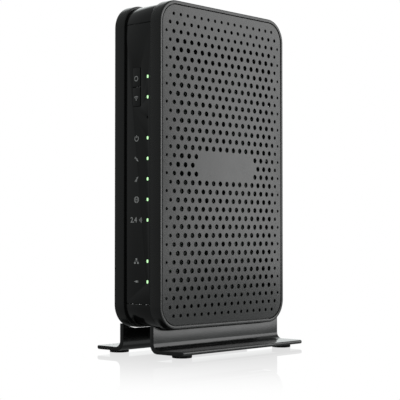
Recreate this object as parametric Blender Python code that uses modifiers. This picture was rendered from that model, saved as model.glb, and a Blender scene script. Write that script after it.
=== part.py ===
"""A cable modem that stands upright on its own foot, with its inner parts.

Metres, +Z up. The origin is on the resting surface, under the middle of the overall
box. The pieces are laid out about the housing's own middle, and an empty moves them all.
The lamps and the two push buttons face -Y, the ports face +Y, and the two vented
sides face -X and +X. Run it with: blender --background --python part.py
"""

import math

import bmesh
import bpy
from mathutils import Matrix, Vector

# ---------------------------------------------------------------- housing, overall
BODY_HEIGHT = 0.2000
BODY_DEPTH = 0.1176
BODY_WIDTH = 0.0395
CORNER_RADIUS = 0.0147
BAND_WIDTH = 0.0228       # the recessed middle band between the two covers
COVER_WALL = 0.0018
EDGE_ROUND = 0.0008
INNER_EDGE_ROUND = 0.0005
GAP = 0.0003              # between pieces that touch
OVERLAP = 0.0010          # how far a cutter or a joined shape runs past the face it meets

# ---------------------------------------------------------------- side covers and panels
RIM_WIDTH = 0.0021        # the flat rim seen round each vented panel
LEDGE_DEPTH = 0.0018      # how far below the rim the panel's ledge lies
LEDGE_THICK = 0.0018
LEDGE_WIDTH = 0.0030      # how far the ledge reaches under the panel
PANEL_THICK = 0.0012
PANEL_CROWN = 0.0020      # how far the panel's middle bulges out

# ---------------------------------------------------------------- middle frame
BAND_THICK = 0.0018
BAND_TUCK = 0.0025        # how far the band reaches under each cover
BAND_STEP = 0.0011        # how far the band, fascia and port plate lie behind the covers' edges
POST_RADIUS = 0.0030
POST_WEB = 0.0020

# ---------------------------------------------------------------- stand
FOOT_RADIUS = 0.0060
FOOT_SHOW = 0.0021        # how far a foot stands below the flange
FOOT_SUNK = 0.0009        # how deep a foot sits in the flange
FOOT_FROM_END = 0.0115
FLANGE_THICK = 0.0023
FLANGE_REACH = 0.0169     # beyond the housing's side
FLANGE_CORNER = 0.0030
FLANGE_EDGE = 0.0006       # rounding of the flange's outer edge
STAND_INSET = 0.0001       # from the housing's front and rear to the stand's ends
STAND_RISE = 0.0116       # from the flange's top to the housing
WALL_INSET = 0.0053       # from the housing's side to the wall's outer face
WALL_THICK = 0.0029
FLARE_INSIDE = 0.0040     # radius of the hollow side of the flare
FLARE_OUTSIDE = 0.0058    # radius of the bulging side of the flare
HORN_RADIUS = 0.0330      # sweep of the wall's top edge at both ends
BRIDGE_THICK = 0.0030
BRIDGE_LENGTH = 0.0660     # the bridge and its tongue stay out of sight inside the arch
HOOK_SIZE = (0.0060, 0.0080)
HOOK_RISE = 0.0045
HOOK_Y = 0.0280
FOOT_EDGE = 0.0004
FOOT_SHIFT = 0.0005        # towards the wall from the middle of the flange's flat part

# ---------------------------------------------------------------- front fascia
FASCIA_THICK = 0.0018
FASCIA_FROM_TOP = 0.0136  # below the housing's top
FASCIA_BOTTOM = 0.0150    # above the housing's bottom
LAMP_X = 0.0082
LAMP_FROM_TOP = 0.0468    # the first row below the housing's top
LAMP_FROM_BOTTOM = 0.0290  # the last row above the housing's bottom
LAMP_ROWS = (0, 1, 3, 4, 5, 6, 7, 9, 10)
SENSOR_ROW = 2
LAMP_SIZE = (0.0012, 0.0020)
SENSOR_RADIUS = 0.0007
BUTTON_X = -0.0012
BUTTON_RAISE = 0.0004     # the line between the buttons, above the middle of the first two rows
BUTTON_SIZE = (0.0064, 0.0117)
BUTTON_SHOW = 0.0004
BUTTON_LIP = 0.0010
BUTTON_LIP_THICK = 0.0008
BUTTON_LIP_SHORT = 0.0006  # the lip stops short of the button's ends
BUTTON_EDGE = 0.0003
BUTTON_STEM_RADIUS = 0.0012
BUTTON_TRAVEL = 0.0006

# ---------------------------------------------------------------- boards
BOARD_THICK = 0.0016
BOARD_X = 0.0086          # inner face of the main board; its parts stand towards -X
BOARD_FROM_REAR = 0.0082    # from the housing's rear
BOARD_TO_POST = 0.0009      # between the main board's ends and the frame's posts, in height
FRONT_BOARD_DEPTH = 0.0077   # behind the fascia
FRONT_BOARD_SIDES = (-0.0065, 0.0108)
FRONT_BOARD_PAST_LAMPS = (0.0050, 0.0108)   # below the last row and above the first
SWITCH_SIZE = (0.0062, 0.0062)
SWITCH_DEPTH = 0.0040
STEM_IN_SWITCH = 0.0010
LAMP_CHIP_DEPTH = 0.0012
LAMP_CHIP_SIZE = (0.0016, 0.0020)
LAMP_CHIP_SUNK = 0.0004
GUIDE_DEPTH = 0.0031         # from the fascia's back to the light guide's bar
GUIDE_BAR_THICK = 0.0016
GUIDE_BAR_WIDTH = 0.0020
GUIDE_PAST_LAMPS = 0.0025
GUIDE_PROUD = 0.0001         # the fingers' ends stand this far out of the fascia
GUIDE_LUG = 0.0008           # the fingers end this far behind the bar
LUG_WIDTH = 0.0070
LUG_THICK = 0.0030
LUG_OVER_BOARD = 0.0062
LUG_Y = 0.0250
BOARD_SCREW_INSET = 0.0032

HEAT_SINK_WIDTH = 0.0400
HEAT_SINK_BASE = 0.0018
HEAT_SINK_FINS = 9
FIN_HEIGHT = 0.0100
FIN_THICK = 0.0014
CHIP_Y = -0.0110          # middle of the modem chip and its heat sink
CHIP_Z = 0.1250
CHIP_SIDE = 0.0200
CHIP_HEIGHT = 0.0016
SHIELD_SIZE = (0.0065, 0.0320, 0.0280)   # tall from the board, deep, high
SHIELD_WALL = 0.0006
SHIELD_Z = 0.0540
SHIELD_TO_COAX = 0.0016
CAPACITOR_RADIUS = 0.0040
CAPACITOR_HEIGHT = 0.0090
CAPACITOR_ROUND = 0.0004
CAPACITOR_Y = -0.0200
CAPACITOR_Z = (0.0520, 0.0640)
ANTENNA_SIZE = (0.0008, 0.0260, 0.0090)  # thick, deep, high
ANTENNA_X = -0.0060
ANTENNA_Y = (-0.0300, 0.0060)
LEAD_RADIUS = 0.0006
LEAD_FROM_TOP = 0.0060    # below the antenna's top edge
LEAD_BELOW_BOARD_TOP = 0.0260
LEAD_DRIFT = 0.0100       # towards the rear, from the antenna to the board
LEAD_SAG = (0.0010, 0.0030, 0.0040)

# ---------------------------------------------------------------- screws
SCREW_RADIUS = 0.0011
SCREW_TIP = 0.0010
SCREW_HEAD_RADIUS = 0.0026
SCREW_HEAD_HEIGHT = 0.0014
COVER_SCREW_LENGTH = 0.0085
BOARD_SCREW_LENGTH = 0.0040
BOSS_WALL = 0.0009        # round the screw's head
BOSS_STEP = 0.0002        # the boss ends this far below the ledge, and its sink this far inside it

# ---------------------------------------------------------------- ports, heights above the housing's bottom
PORT_X = 0.0016
PORT_PLATE_ENDS = (0.0165, 0.1440)
PORT_SHOW = 0.0004
DC_Z = 0.0260
POWER_Z = 0.0410
COAX_Z = 0.0590
LAN_Z = (0.0800, 0.0990)
USB_Z = 0.1180
RESET_Z = 0.1340
LAN_SIZE = (0.0134, 0.0160, 0.0210)     # tall from the board, wide, deep
LAN_SOCKET = (0.0081, 0.0118, 0.0140)
LAN_NOTCH = (0.0024, 0.0062)
LAN_WALL = 0.0014            # between the socket and the jack's inner side
USB_SIZE = (0.0070, 0.0144, 0.0150)
USB_SOCKET = (0.0050, 0.0124, 0.0110)
USB_TONGUE = (0.0018, 0.0100, 0.0085)
USB_WALL = 0.0010
USB_TONGUE_GAP = 0.0006      # between the tongue and the socket's side by the board
DC_SIZE = (0.0110, 0.0090, 0.0140)
DC_SOCKET_RADIUS = 0.0031
DC_SOCKET_DEPTH = 0.0090
DC_PIN_RADIUS = 0.0010
DC_PIN_TIP = 0.0006
DC_PIN_SUNK = 0.0015         # the pin ends this far behind the jack's face
COAX_RADIUS = 0.00475
COAX_BORE = 0.0031
COAX_BORE_DEPTH = 0.0080
COAX_REACH = 0.0093
COAX_BLOCK = (0.0120, 0.0120, 0.0130)
COAX_BASE_SHORT = 0.0020     # the block's base ends this far short of the port plate
COAX_PIN_HOLE = 0.0006
COAX_PIN_DEPTH = 0.0040
COAX_EDGE = 0.0004
COAX_NUT_RADIUS = 0.0074
COAX_NUT_THICK = 0.0022
POWER_BUTTON_RADIUS = 0.0038
POWER_BUTTON_SHOW = 0.0024
POWER_TRAVEL = 0.0018
POWER_EDGE = 0.0005
POWER_LIP = 0.0010
POWER_STEM_RADIUS = 0.0015
POWER_STEM_LENGTH = 0.0040
SPARE_TRAVEL = 0.0006        # left behind a pressed button
POWER_SWITCH_SIZE = (0.0107, 0.0080, 0.0100)
RESET_HOLE_RADIUS = 0.0010
RESET_RADIUS = 0.0009
RESET_TRAVEL = 0.0004
RESET_LENGTH = 0.0030
RESET_BEHIND_PLATE = 0.0008
RESET_STANDS_OUT = 0.0015    # of its switch
RESET_SWITCH_SIZE = (0.0040, 0.0062)  # deep, high
RESET_SWITCH_PAST_AXIS = 0.0032

# ---------------------------------------------------------------- places that follow from the sizes
BASE_Z = FOOT_SHOW + FLANGE_THICK + STAND_RISE
BODY_MIDDLE = BASE_Z + BODY_HEIGHT / 2
TOP_Z = BASE_Z + BODY_HEIGHT
HALF_WIDTH = BODY_WIDTH / 2
HALF_DEPTH = BODY_DEPTH / 2
HALF_BAND = BAND_WIDTH / 2
STAND_LENGTH = BODY_DEPTH - 2 * STAND_INSET
BAND_INSET = COVER_WALL + GAP
BAND_INNER = BAND_INSET + BAND_THICK
LEDGE_TOP = HALF_WIDTH - LEDGE_DEPTH
LEDGE_UNDER = LEDGE_TOP - LEDGE_THICK
LEDGE_INSET = RIM_WIDTH + LEDGE_WIDTH
FACE_HALF = HALF_BAND - GAP              # the raised band, the fascia and the port plate
FRONT_FACE = -HALF_DEPTH + BAND_STEP
REAR_FACE = HALF_DEPTH - BAND_STEP
FASCIA_BACK = FRONT_FACE + FASCIA_THICK
PLATE_INNER = REAR_FACE - FASCIA_THICK
PORT_FACE = REAR_FACE + PORT_SHOW
PART_FACE = BOARD_X - GAP                # where the main board's parts stand
FRONT_BOARD_Y = FASCIA_BACK + FRONT_BOARD_DEPTH
BOARD_FRONT = FRONT_BOARD_Y + BOARD_THICK + GAP
BOARD_BACK = HALF_DEPTH - BOARD_FROM_REAR
GUIDE_BAR_FRONT = FASCIA_BACK + GUIDE_DEPTH
GUIDE_BAR_BACK = GUIDE_BAR_FRONT + GUIDE_BAR_THICK
COAX_BLOCK_BACK = PLATE_INNER - GAP - COAX_BLOCK[2]
LAMP_PITCH = (BODY_HEIGHT - LAMP_FROM_TOP - LAMP_FROM_BOTTOM) / LAMP_ROWS[-1]
CORNER_Y = HALF_DEPTH - CORNER_RADIUS
CORNER_Z = BODY_HEIGHT / 2 - CORNER_RADIUS
SCREW_HOLE = SCREW_RADIUS + GAP
SINK_RADIUS = SCREW_HEAD_RADIUS + GAP
BOSS_RADIUS = SINK_RADIUS + BOSS_WALL
POST_FROM_CENTRE = CORNER_RADIUS - LEDGE_INSET - SINK_RADIUS - BOSS_STEP   # along the diagonal
POST_HALF = HALF_BAND + BAND_TUCK
POST_Y = CORNER_Y + POST_FROM_CENTRE * math.sqrt(0.5)
POST_Z = CORNER_Z + POST_FROM_CENTRE * math.sqrt(0.5)
BOARD_FROM_ENDS = BODY_HEIGHT / 2 - POST_Z + POST_RADIUS + BOARD_TO_POST
WALL_OUT = HALF_WIDTH - WALL_INSET
WALL_IN = WALL_OUT - WALL_THICK
FLANGE_OUT = HALF_WIDTH + FLANGE_REACH
FLANGE_TOP = FOOT_SHOW + FLANGE_THICK
WALL_TOP = BASE_Z - GAP
HORN_START = CORNER_Y
FOOT_X = (WALL_OUT + FLARE_INSIDE + FLANGE_OUT) / 2 - FOOT_SHIFT
FOOT_Y = STAND_LENGTH / 2 - FOOT_FROM_END

ORIGIN_SHIFT = (HALF_DEPTH - REAR_FACE - COAX_REACH) / 2   # along Y, to the overall middle

CORNERS = ((1, 1), (-1, 1), (-1, -1), (1, -1))   # the sign of each corner's Y and Z
CORNER_STEPS = 12
ROUND_STEPS = 20

# how each drawing plane lies: the drawing's X and Y, and its thickness, as world axes
ALONG_X = Matrix(((0, 0, 1, 0), (1, 0, 0, 0), (0, 1, 0, 0), (0, 0, 0, 1)))
ALONG_Y = Matrix(((1, 0, 0, 0), (0, 0, -1, 0), (0, 1, 0, 0), (0, 0, 0, 1)))
ALONG_Z = Matrix.Identity(4)
TURN = {
    "X": Matrix.Rotation(math.pi / 2, 4, "Y"),
    "Y": Matrix.Rotation(-math.pi / 2, 4, "X"),
    "Z": ALONG_Z,
}


# ================================================================ scene and materials
def clear_scene():
    for obj in list(bpy.data.objects):
        bpy.data.objects.remove(obj, do_unlink=True)


def new_collection(name):
    collection = bpy.data.collections.new(name)
    bpy.context.scene.collection.children.link(collection)
    return collection


def new_material(name, colour, roughness, metallic=0.0):
    material = bpy.data.materials.new(name)
    material.use_nodes = True
    shader = material.node_tree.nodes["Principled BSDF"]
    shader.inputs["Base Color"].default_value = (*colour, 1.0)
    shader.inputs["Roughness"].default_value = roughness
    shader.inputs["Metallic"].default_value = metallic
    material.diffuse_color = (*colour, 1.0)
    return material


clear_scene()
PARTS = new_collection("cable_modem")
CUTTERS = new_collection("cutters")

COVER_PLASTIC = (0.030, 0.031, 0.031)
FASCIA_PLASTIC = (0.012, 0.013, 0.013)
STAND_PLASTIC = (0.022, 0.023, 0.023)
RUBBER = (0.015, 0.015, 0.015)
BOARD_GREEN = (0.010, 0.075, 0.035)
CHIP_BLACK = (0.020, 0.020, 0.022)
TIN = (0.62, 0.63, 0.64)
NICKEL = (0.70, 0.69, 0.66)
LENS = (0.72, 0.90, 0.62)
WHITE_PLASTIC = (0.80, 0.80, 0.76)


# ================================================================ making shapes
def link(obj, colour=None, roughness=0.5, metallic=0.0):
    """Puts a finished piece in the parts collection with its own material."""
    PARTS.objects.link(obj)
    if colour is not None:
        obj.data.materials.clear()
        obj.data.materials.append(new_material(obj.name, colour, roughness, metallic))
    return obj


def helper(obj):
    """Puts a cutter, or a shape that is joined on, in the cutters collection."""
    CUTTERS.objects.link(obj)
    obj.hide_render = True
    obj.display_type = "WIRE"
    return obj


def mesh_object(name, bm):
    mesh = bpy.data.meshes.new(name)
    bmesh.ops.recalc_face_normals(bm, faces=bm.faces)
    bm.to_mesh(mesh)
    bm.free()
    return bpy.data.objects.new(name, mesh)


def add_box(bm, low, high):
    low = Vector(low)
    high = Vector(high)
    made = bmesh.ops.create_cube(bm, size=1.0)
    size = high - low
    place = Matrix.Translation((low + high) / 2) @ Matrix.Diagonal((*size, 1.0))
    bmesh.ops.transform(bm, matrix=place, verts=made["verts"])
    return made["verts"]


def box(name, low, high):
    bm = bmesh.new()
    add_box(bm, low, high)
    return mesh_object(name, bm)


def boxes(name, corners):
    bm = bmesh.new()
    for low, high in corners:
        add_box(bm, low, high)
    return mesh_object(name, bm)


def add_cylinder(bm, axis, start, length, radius, steps=ROUND_STEPS):
    """A cylinder from the point start, along a world axis."""
    made = bmesh.ops.create_cone(
        bm, cap_ends=True, segments=steps, radius1=radius, radius2=radius, depth=length
    )
    along = Matrix.Translation((0, 0, length / 2))
    place = Matrix.Translation(start) @ TURN[axis] @ along
    bmesh.ops.transform(bm, matrix=place, verts=made["verts"])


def cylinder(name, axis, start, length, radius, steps=ROUND_STEPS):
    bm = bmesh.new()
    add_cylinder(bm, axis, start, length, radius, steps)
    return mesh_object(name, bm)


def combine(target, other, operation):
    """Cuts a helper shape from a piece, joins it on, or keeps only what both share."""
    modifier = target.modifiers.new(other.name, "BOOLEAN")
    modifier.operation = operation
    modifier.solver = "EXACT"
    modifier.object = helper(other)
    return target


def cut(target, other):
    return combine(target, other, "DIFFERENCE")


def join(target, other):
    return combine(target, other, "UNION")


def bevel(obj, width, segments=1, angle=40.0):
    modifier = obj.modifiers.new("edges", "BEVEL")
    modifier.width = width
    modifier.segments = segments
    modifier.limit_method = "ANGLE"
    modifier.angle_limit = math.radians(angle)
    return obj


def smooth(obj, angle=35.0):
    obj.data.shade_smooth()
    obj.data.set_sharp_from_angle(angle=math.radians(angle))
    return obj


def arc(centre, radius, start, end, steps):
    """Points along an arc, with angles in degrees."""
    points = []
    for step in range(steps + 1):
        turn = math.radians(start + (end - start) * step / steps)
        points.append((centre[0] + radius * math.cos(turn), centre[1] + radius * math.sin(turn)))
    return points


def rounded_rectangle(width, height, radius, steps=CORNER_STEPS):
    across = width / 2 - radius
    up = height / 2 - radius
    points = []
    for side, end, start in ((1, 1, 0), (-1, 1, 90), (-1, -1, 180), (1, -1, 270)):
        points += arc((side * across, end * up), radius, start, start + 90, steps)
    return points


def housing_outline(inset, steps=CORNER_STEPS):
    """The housing's outline in Y and Z about its middle, moved in by inset."""
    return rounded_rectangle(
        BODY_DEPTH - 2 * inset, BODY_HEIGHT - 2 * inset, CORNER_RADIUS - inset, steps
    )


def flat_solid(name, outline, thickness, plane, place=(0.0, 0.0, 0.0)):
    """A flat outline made solid; thickness is centred on place."""
    curve = bpy.data.curves.new(name, "CURVE")
    curve.dimensions = "2D"
    curve.fill_mode = "BOTH"
    curve.extrude = thickness / 2
    spline = curve.splines.new("POLY")
    spline.points.add(len(outline) - 1)
    for point, (across, up) in zip(spline.points, outline):
        point.co = (across, up, 0.0, 1.0)
    spline.use_cyclic_u = True
    drawn = bpy.data.objects.new(name + "_outline", curve)
    bpy.context.scene.collection.objects.link(drawn)
    graph = bpy.context.evaluated_depsgraph_get()
    mesh = bpy.data.meshes.new_from_object(drawn.evaluated_get(graph))
    bpy.data.objects.remove(drawn, do_unlink=True)
    mesh.transform(Matrix.Translation(place) @ plane)
    mesh.materials.clear()
    bm = bmesh.new()
    bm.from_mesh(mesh)
    bpy.data.meshes.remove(mesh)
    bmesh.ops.remove_doubles(bm, verts=bm.verts, dist=1e-6)
    return mesh_object(name, bm)


def ring_solid(name, profile):
    """A closed profile of (inset, x) points carried round the housing's outline."""
    bm = bmesh.new()
    rings = []
    for inset, x in profile:
        outline = housing_outline(inset)
        rings.append([bm.verts.new((x, y, BODY_MIDDLE + z)) for y, z in outline])
    count = len(rings[0])
    for ring, following in zip(rings, rings[1:] + rings[:1]):
        for i in range(count):
            j = (i + 1) % count
            bm.faces.new((ring[i], ring[j], following[j], following[i]))
    return mesh_object(name, bm)


def turned(name, profile, axis, start, steps=ROUND_STEPS):
    """A profile of (radius, height) points, top to bottom, turned about an axis at start."""
    bm = bmesh.new()
    points = [bm.verts.new((radius, 0.0, height)) for radius, height in profile]
    for upper, lower in zip(points, points[1:]):
        bm.edges.new((upper, lower))
    mesh = bpy.data.meshes.new(name)
    bm.to_mesh(mesh)
    bm.free()
    obj = bpy.data.objects.new(name, mesh)
    screw = obj.modifiers.new("turned", "SCREW")
    screw.steps = steps
    screw.render_steps = steps
    screw.use_merge_vertices = True
    screw.merge_threshold = 0.00001
    obj.matrix_world = Matrix.Translation(start) @ TURN[axis]
    return obj


def along_x(place, side):
    """Stands a turned shape at place with its top towards +X or -X."""
    return Matrix.Translation(place) @ Matrix.Rotation(side * math.pi / 2, 4, "Y")


def tube(name, points, radius):
    """A round wire through the points."""
    curve = bpy.data.curves.new(name, "CURVE")
    curve.dimensions = "3D"
    curve.bevel_depth = radius
    curve.bevel_resolution = 1
    curve.use_fill_caps = True
    spline = curve.splines.new("POLY")
    spline.points.add(len(points) - 1)
    for point, place in zip(spline.points, points):
        point.co = (*place, 1.0)
    return bpy.data.objects.new(name, curve)


def part_on_board(name, low_yz, high_yz, height):
    """A box on the main board's inner face; heights above the housing's bottom."""
    low = (PART_FACE - height, low_yz[0], BASE_Z + low_yz[1])
    high = (PART_FACE, high_yz[0], BASE_Z + high_yz[1])
    return box(name, low, high)


# ================================================================ covers and panels
def make_cover(name, side):
    outer = arc((EDGE_ROUND, HALF_WIDTH - EDGE_ROUND), EDGE_ROUND, 180, 90, 3)
    inner = arc((INNER_EDGE_ROUND, HALF_BAND + INNER_EDGE_ROUND), INNER_EDGE_ROUND, 270, 180, 1)
    profile = outer + [
        (RIM_WIDTH, HALF_WIDTH),
        (RIM_WIDTH, LEDGE_TOP),
        (LEDGE_INSET, LEDGE_TOP),
        (LEDGE_INSET, LEDGE_UNDER),
        (COVER_WALL, LEDGE_UNDER),
        (COVER_WALL, HALF_BAND),
    ] + inner
    cover = ring_solid(name, [(inset, side * x) for inset, x in profile])
    foot = POST_HALF + GAP
    bm = bmesh.new()
    for y, z in cover_screw_places(side):
        add_cylinder(bm, "X", (side * foot, y, z), side * (LEDGE_TOP - BOSS_STEP - foot), BOSS_RADIUS)
    join(cover, mesh_object(f"{name}_bosses", bm))
    sink = LEDGE_TOP - SCREW_HEAD_HEIGHT - GAP - foot
    high = LEDGE_TOP + OVERLAP - foot
    profile = [
        (0.0, high),
        (SINK_RADIUS, high),
        (SINK_RADIUS, sink),
        (SCREW_HOLE, sink),
        (SCREW_HOLE, -OVERLAP),
        (0.0, -OVERLAP),
    ]
    for number, (y, z) in enumerate(cover_screw_places(side)):
        hole = turned(f"{name}_hole_{number}", profile, "X", (0.0, 0.0, 0.0))
        hole.matrix_world = along_x((side * foot, y, z), side)
        cut(cover, hole)
    return link(smooth(cover), COVER_PLASTIC, 0.42)


def cover_screw_places(side):
    """Each cover has two screws, in opposite corners."""
    return [
        (side * POST_Y, BODY_MIDDLE + POST_Z),
        (-side * POST_Y, BODY_MIDDLE - POST_Z),
    ]


def panel_bulge(y, z):
    """How far the panel stands out at a point measured from the housing's middle."""
    across = 1 - (y / HALF_DEPTH) ** 2
    up = 1 - (z / (BODY_HEIGHT / 2)) ** 2
    return PANEL_CROWN * max(across, 0.0) * max(up, 0.0)


def make_panel(name, side):
    bm = bmesh.new()
    bmesh.ops.create_grid(bm, x_segments=9, y_segments=14, size=0.5)
    under = LEDGE_TOP + GAP
    for vert in bm.verts:
        y = vert.co.x * (BODY_DEPTH + 2 * OVERLAP)
        z = vert.co.y * (BODY_HEIGHT + 2 * OVERLAP)
        vert.co = (side * (under + panel_bulge(y, z)), y, BODY_MIDDLE + z)
    panel = mesh_object(name, bm)
    solid = panel.modifiers.new("thickness", "SOLIDIFY")
    solid.thickness = PANEL_THICK
    facing = panel.data.polygons[0].normal.x * side
    solid.offset = 1.0 if facing > 0 else -1.0
    outline = housing_outline(RIM_WIDTH + GAP)
    place = (side * HALF_WIDTH, 0.0, BODY_MIDDLE)
    trim = flat_solid(f"{name}_trim", outline, BODY_WIDTH, ALONG_X, place)
    combine(panel, trim, "INTERSECT")
    return link(smooth(panel), COVER_PLASTIC, 0.45)


# ================================================================ middle frame, fascia and port plate
def make_mid_frame():
    half = HALF_BAND + BAND_TUCK
    right = [(BAND_STEP, FACE_HALF), (BAND_INSET, FACE_HALF), (BAND_INSET, half), (BAND_INNER, half)]
    frame = ring_solid("mid_frame", right + [(inset, -x) for inset, x in reversed(right)])
    add_posts(frame)
    add_lugs(frame)
    windows = boxes(
        "frame_windows",
        [
            (
                (-HALF_BAND, -HALF_DEPTH, BASE_Z + FASCIA_BOTTOM),
                (HALF_BAND, -HALF_DEPTH + BAND_INNER + OVERLAP, TOP_Z - FASCIA_FROM_TOP),
            ),
            (
                (-HALF_BAND, HALF_DEPTH - BAND_INNER - OVERLAP, BASE_Z + PORT_PLATE_ENDS[0]),
                (HALF_BAND, HALF_DEPTH, BASE_Z + PORT_PLATE_ENDS[1]),
            ),
        ],
    )
    cut(frame, windows)
    slots = [
        hook_box(y, GAP, BASE_Z + BAND_STEP - OVERLAP, BASE_Z + BAND_INNER + OVERLAP)
        for y in (-HOOK_Y, HOOK_Y)
    ]
    cut(frame, boxes("frame_slots", slots))
    return link(smooth(frame), FASCIA_PLASTIC, 0.30)


def add_posts(frame):
    """A post in each corner for the covers' screws, with a web out to the band."""
    webs = bmesh.new()
    posts = bmesh.new()
    pilots = bmesh.new()
    web_start = (SCREW_HOLE + POST_RADIUS) / 2
    web_end = CORNER_RADIUS - BAND_INNER - POST_FROM_CENTRE + BAND_THICK / 3
    web_half = POST_HALF - OVERLAP
    for y_side, z_side in CORNERS:
        y = y_side * POST_Y
        z = BODY_MIDDLE + z_side * POST_Z
        web_low = (-web_half, web_start, -POST_WEB / 2)
        web = add_box(webs, web_low, (web_half, web_end, POST_WEB / 2))
        diagonal = Matrix.Rotation(math.atan2(z_side, y_side), 4, "X")
        place = Matrix.Translation((0.0, y, z)) @ diagonal
        bmesh.ops.transform(webs, matrix=place, verts=web)
        add_cylinder(posts, "X", (-POST_HALF, y, z), 2 * POST_HALF, POST_RADIUS)
        pilot_half = POST_HALF + OVERLAP
        add_cylinder(pilots, "X", (-pilot_half, y, z), 2 * pilot_half, SCREW_HOLE)
    join(frame, mesh_object("frame_webs", webs))
    join(frame, mesh_object("frame_posts", posts))
    cut(frame, mesh_object("frame_pilots", pilots))


def board_screw_places():
    """Y and Z of the four main board screws, one in each lug."""
    reach = BODY_HEIGHT / 2 - BOARD_FROM_ENDS - BOARD_SCREW_INSET
    return [(y_side * LUG_Y, BODY_MIDDLE + z_side * reach) for y_side, z_side in CORNERS]


def add_lugs(frame):
    """Four lugs that the main board is screwed to."""
    low_x = BOARD_X + BOARD_THICK + GAP
    near = BODY_HEIGHT / 2 - BOARD_FROM_ENDS - LUG_OVER_BOARD
    far = BODY_HEIGHT / 2 - BAND_INNER + BAND_THICK / 3
    lugs = bmesh.new()
    for y_side, z_side in CORNERS:
        y = y_side * LUG_Y
        ends = sorted((BODY_MIDDLE + z_side * near, BODY_MIDDLE + z_side * far))
        low = (low_x, y - LUG_WIDTH / 2, ends[0])
        add_box(lugs, low, (low_x + LUG_THICK, y + LUG_WIDTH / 2, ends[1]))
    join(frame, mesh_object("frame_lugs", lugs))
    holes = bmesh.new()
    for y, z in board_screw_places():
        add_cylinder(holes, "X", (low_x - OVERLAP, y, z), LUG_THICK + 2 * OVERLAP, SCREW_HOLE, 12)
    cut(frame, mesh_object("frame_lug_holes", holes))


def lamp_height(row):
    return TOP_Z - LAMP_FROM_TOP - row * LAMP_PITCH


def button_heights():
    step = BUTTON_SIZE[1] / 2 + GAP / 2
    middle = (lamp_height(0) + lamp_height(1)) / 2 + BUTTON_RAISE
    return [middle + step, middle - step]


def make_front_fascia():
    low = (-FACE_HALF, FRONT_FACE, BASE_Z + FASCIA_BOTTOM + GAP)
    high = (FACE_HALF, FASCIA_BACK, TOP_Z - FASCIA_FROM_TOP - GAP)
    fascia = box("front_fascia", low, high)
    holes = []
    for row in LAMP_ROWS:
        across = LAMP_SIZE[0] / 2 + GAP
        up = LAMP_SIZE[1] / 2 + GAP
        z = lamp_height(row)
        hole_low = (LAMP_X - across, FRONT_FACE - OVERLAP, z - up)
        hole_high = (LAMP_X + across, FASCIA_BACK + OVERLAP, z + up)
        holes.append((hole_low, hole_high))
    across = BUTTON_SIZE[0] / 2 + GAP
    top, bottom = button_heights()
    reach = BUTTON_SIZE[1] / 2 + GAP
    holes.append(
        (
            (BUTTON_X - across, FRONT_FACE - OVERLAP, bottom - reach),
            (BUTTON_X + across, FASCIA_BACK + OVERLAP, top + reach),
        )
    )
    cut(fascia, boxes("fascia_holes", holes))
    start = (LAMP_X, FRONT_FACE - OVERLAP, lamp_height(SENSOR_ROW))
    cut(fascia, cylinder("sensor_hole", "Y", start, FASCIA_THICK + 2 * OVERLAP, SENSOR_RADIUS, 12))
    return link(fascia, FASCIA_PLASTIC, 0.22)


def make_port_plate():
    low = (-FACE_HALF, PLATE_INNER, BASE_Z + PORT_PLATE_ENDS[0] + GAP)
    high = (FACE_HALF, REAR_FACE, BASE_Z + PORT_PLATE_ENDS[1] - GAP)
    plate = box("port_plate", low, high)
    holes = []
    square_ports = [(DC_Z, DC_SIZE), (USB_Z, USB_SIZE)] + [(height, LAN_SIZE) for height in LAN_Z]
    for height, size in square_ports:
        reach = size[1] / 2 + GAP
        z = BASE_Z + height
        hole_low = (PART_FACE - size[0] - GAP, PLATE_INNER - OVERLAP, z - reach)
        hole_high = (PART_FACE + GAP, REAR_FACE + OVERLAP, z + reach)
        holes.append((hole_low, hole_high))
    cut(plate, boxes("port_holes", holes))
    for label, height, radius in (
        ("coax", COAX_Z, COAX_RADIUS),
        ("power", POWER_Z, POWER_BUTTON_RADIUS),
        ("reset", RESET_Z, RESET_HOLE_RADIUS - GAP),
    ):
        start = (PORT_X, PLATE_INNER - OVERLAP, BASE_Z + height)
        cut(plate, cylinder(f"{label}_hole", "Y", start, FASCIA_THICK + 2 * OVERLAP, radius + GAP, 24))
    return link(plate, FASCIA_PLASTIC, 0.35)


# ================================================================ front buttons, lamps and their board
def make_front_button(name, height):
    """A push button that slides along +Y; its origin is on its axis."""
    axis = Matrix.Translation((BUTTON_X, FRONT_FACE, height))
    across = BUTTON_SIZE[0] / 2
    up = BUTTON_SIZE[1] / 2
    lip_start = FASCIA_THICK + GAP
    lip_end = lip_start + BUTTON_LIP_THICK
    button = box(name, (-across, -BUTTON_SHOW, -up), (across, lip_end, up))
    button.matrix_world = axis
    bevel(button, BUTTON_EDGE)
    lip_up = up - BUTTON_LIP_SHORT
    lip_low = (-across - BUTTON_LIP, lip_start, -lip_up)
    lip = box(f"{name}_lip", lip_low, (across + BUTTON_LIP, lip_end, lip_up))
    lip.matrix_world = axis
    join(button, lip)
    stem_end = FRONT_BOARD_Y - GAP - SWITCH_DEPTH + STEM_IN_SWITCH - FRONT_FACE
    stem_sunk = BUTTON_LIP_THICK / 2
    stem_start = (0.0, lip_end - stem_sunk, 0.0)
    stem_length = stem_end - lip_end + stem_sunk
    stem = cylinder(f"{name}_stem", "Y", stem_start, stem_length, BUTTON_STEM_RADIUS, 12)
    stem.matrix_world = axis
    join(button, stem)
    return link(button, FASCIA_PLASTIC, 0.28)


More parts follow.
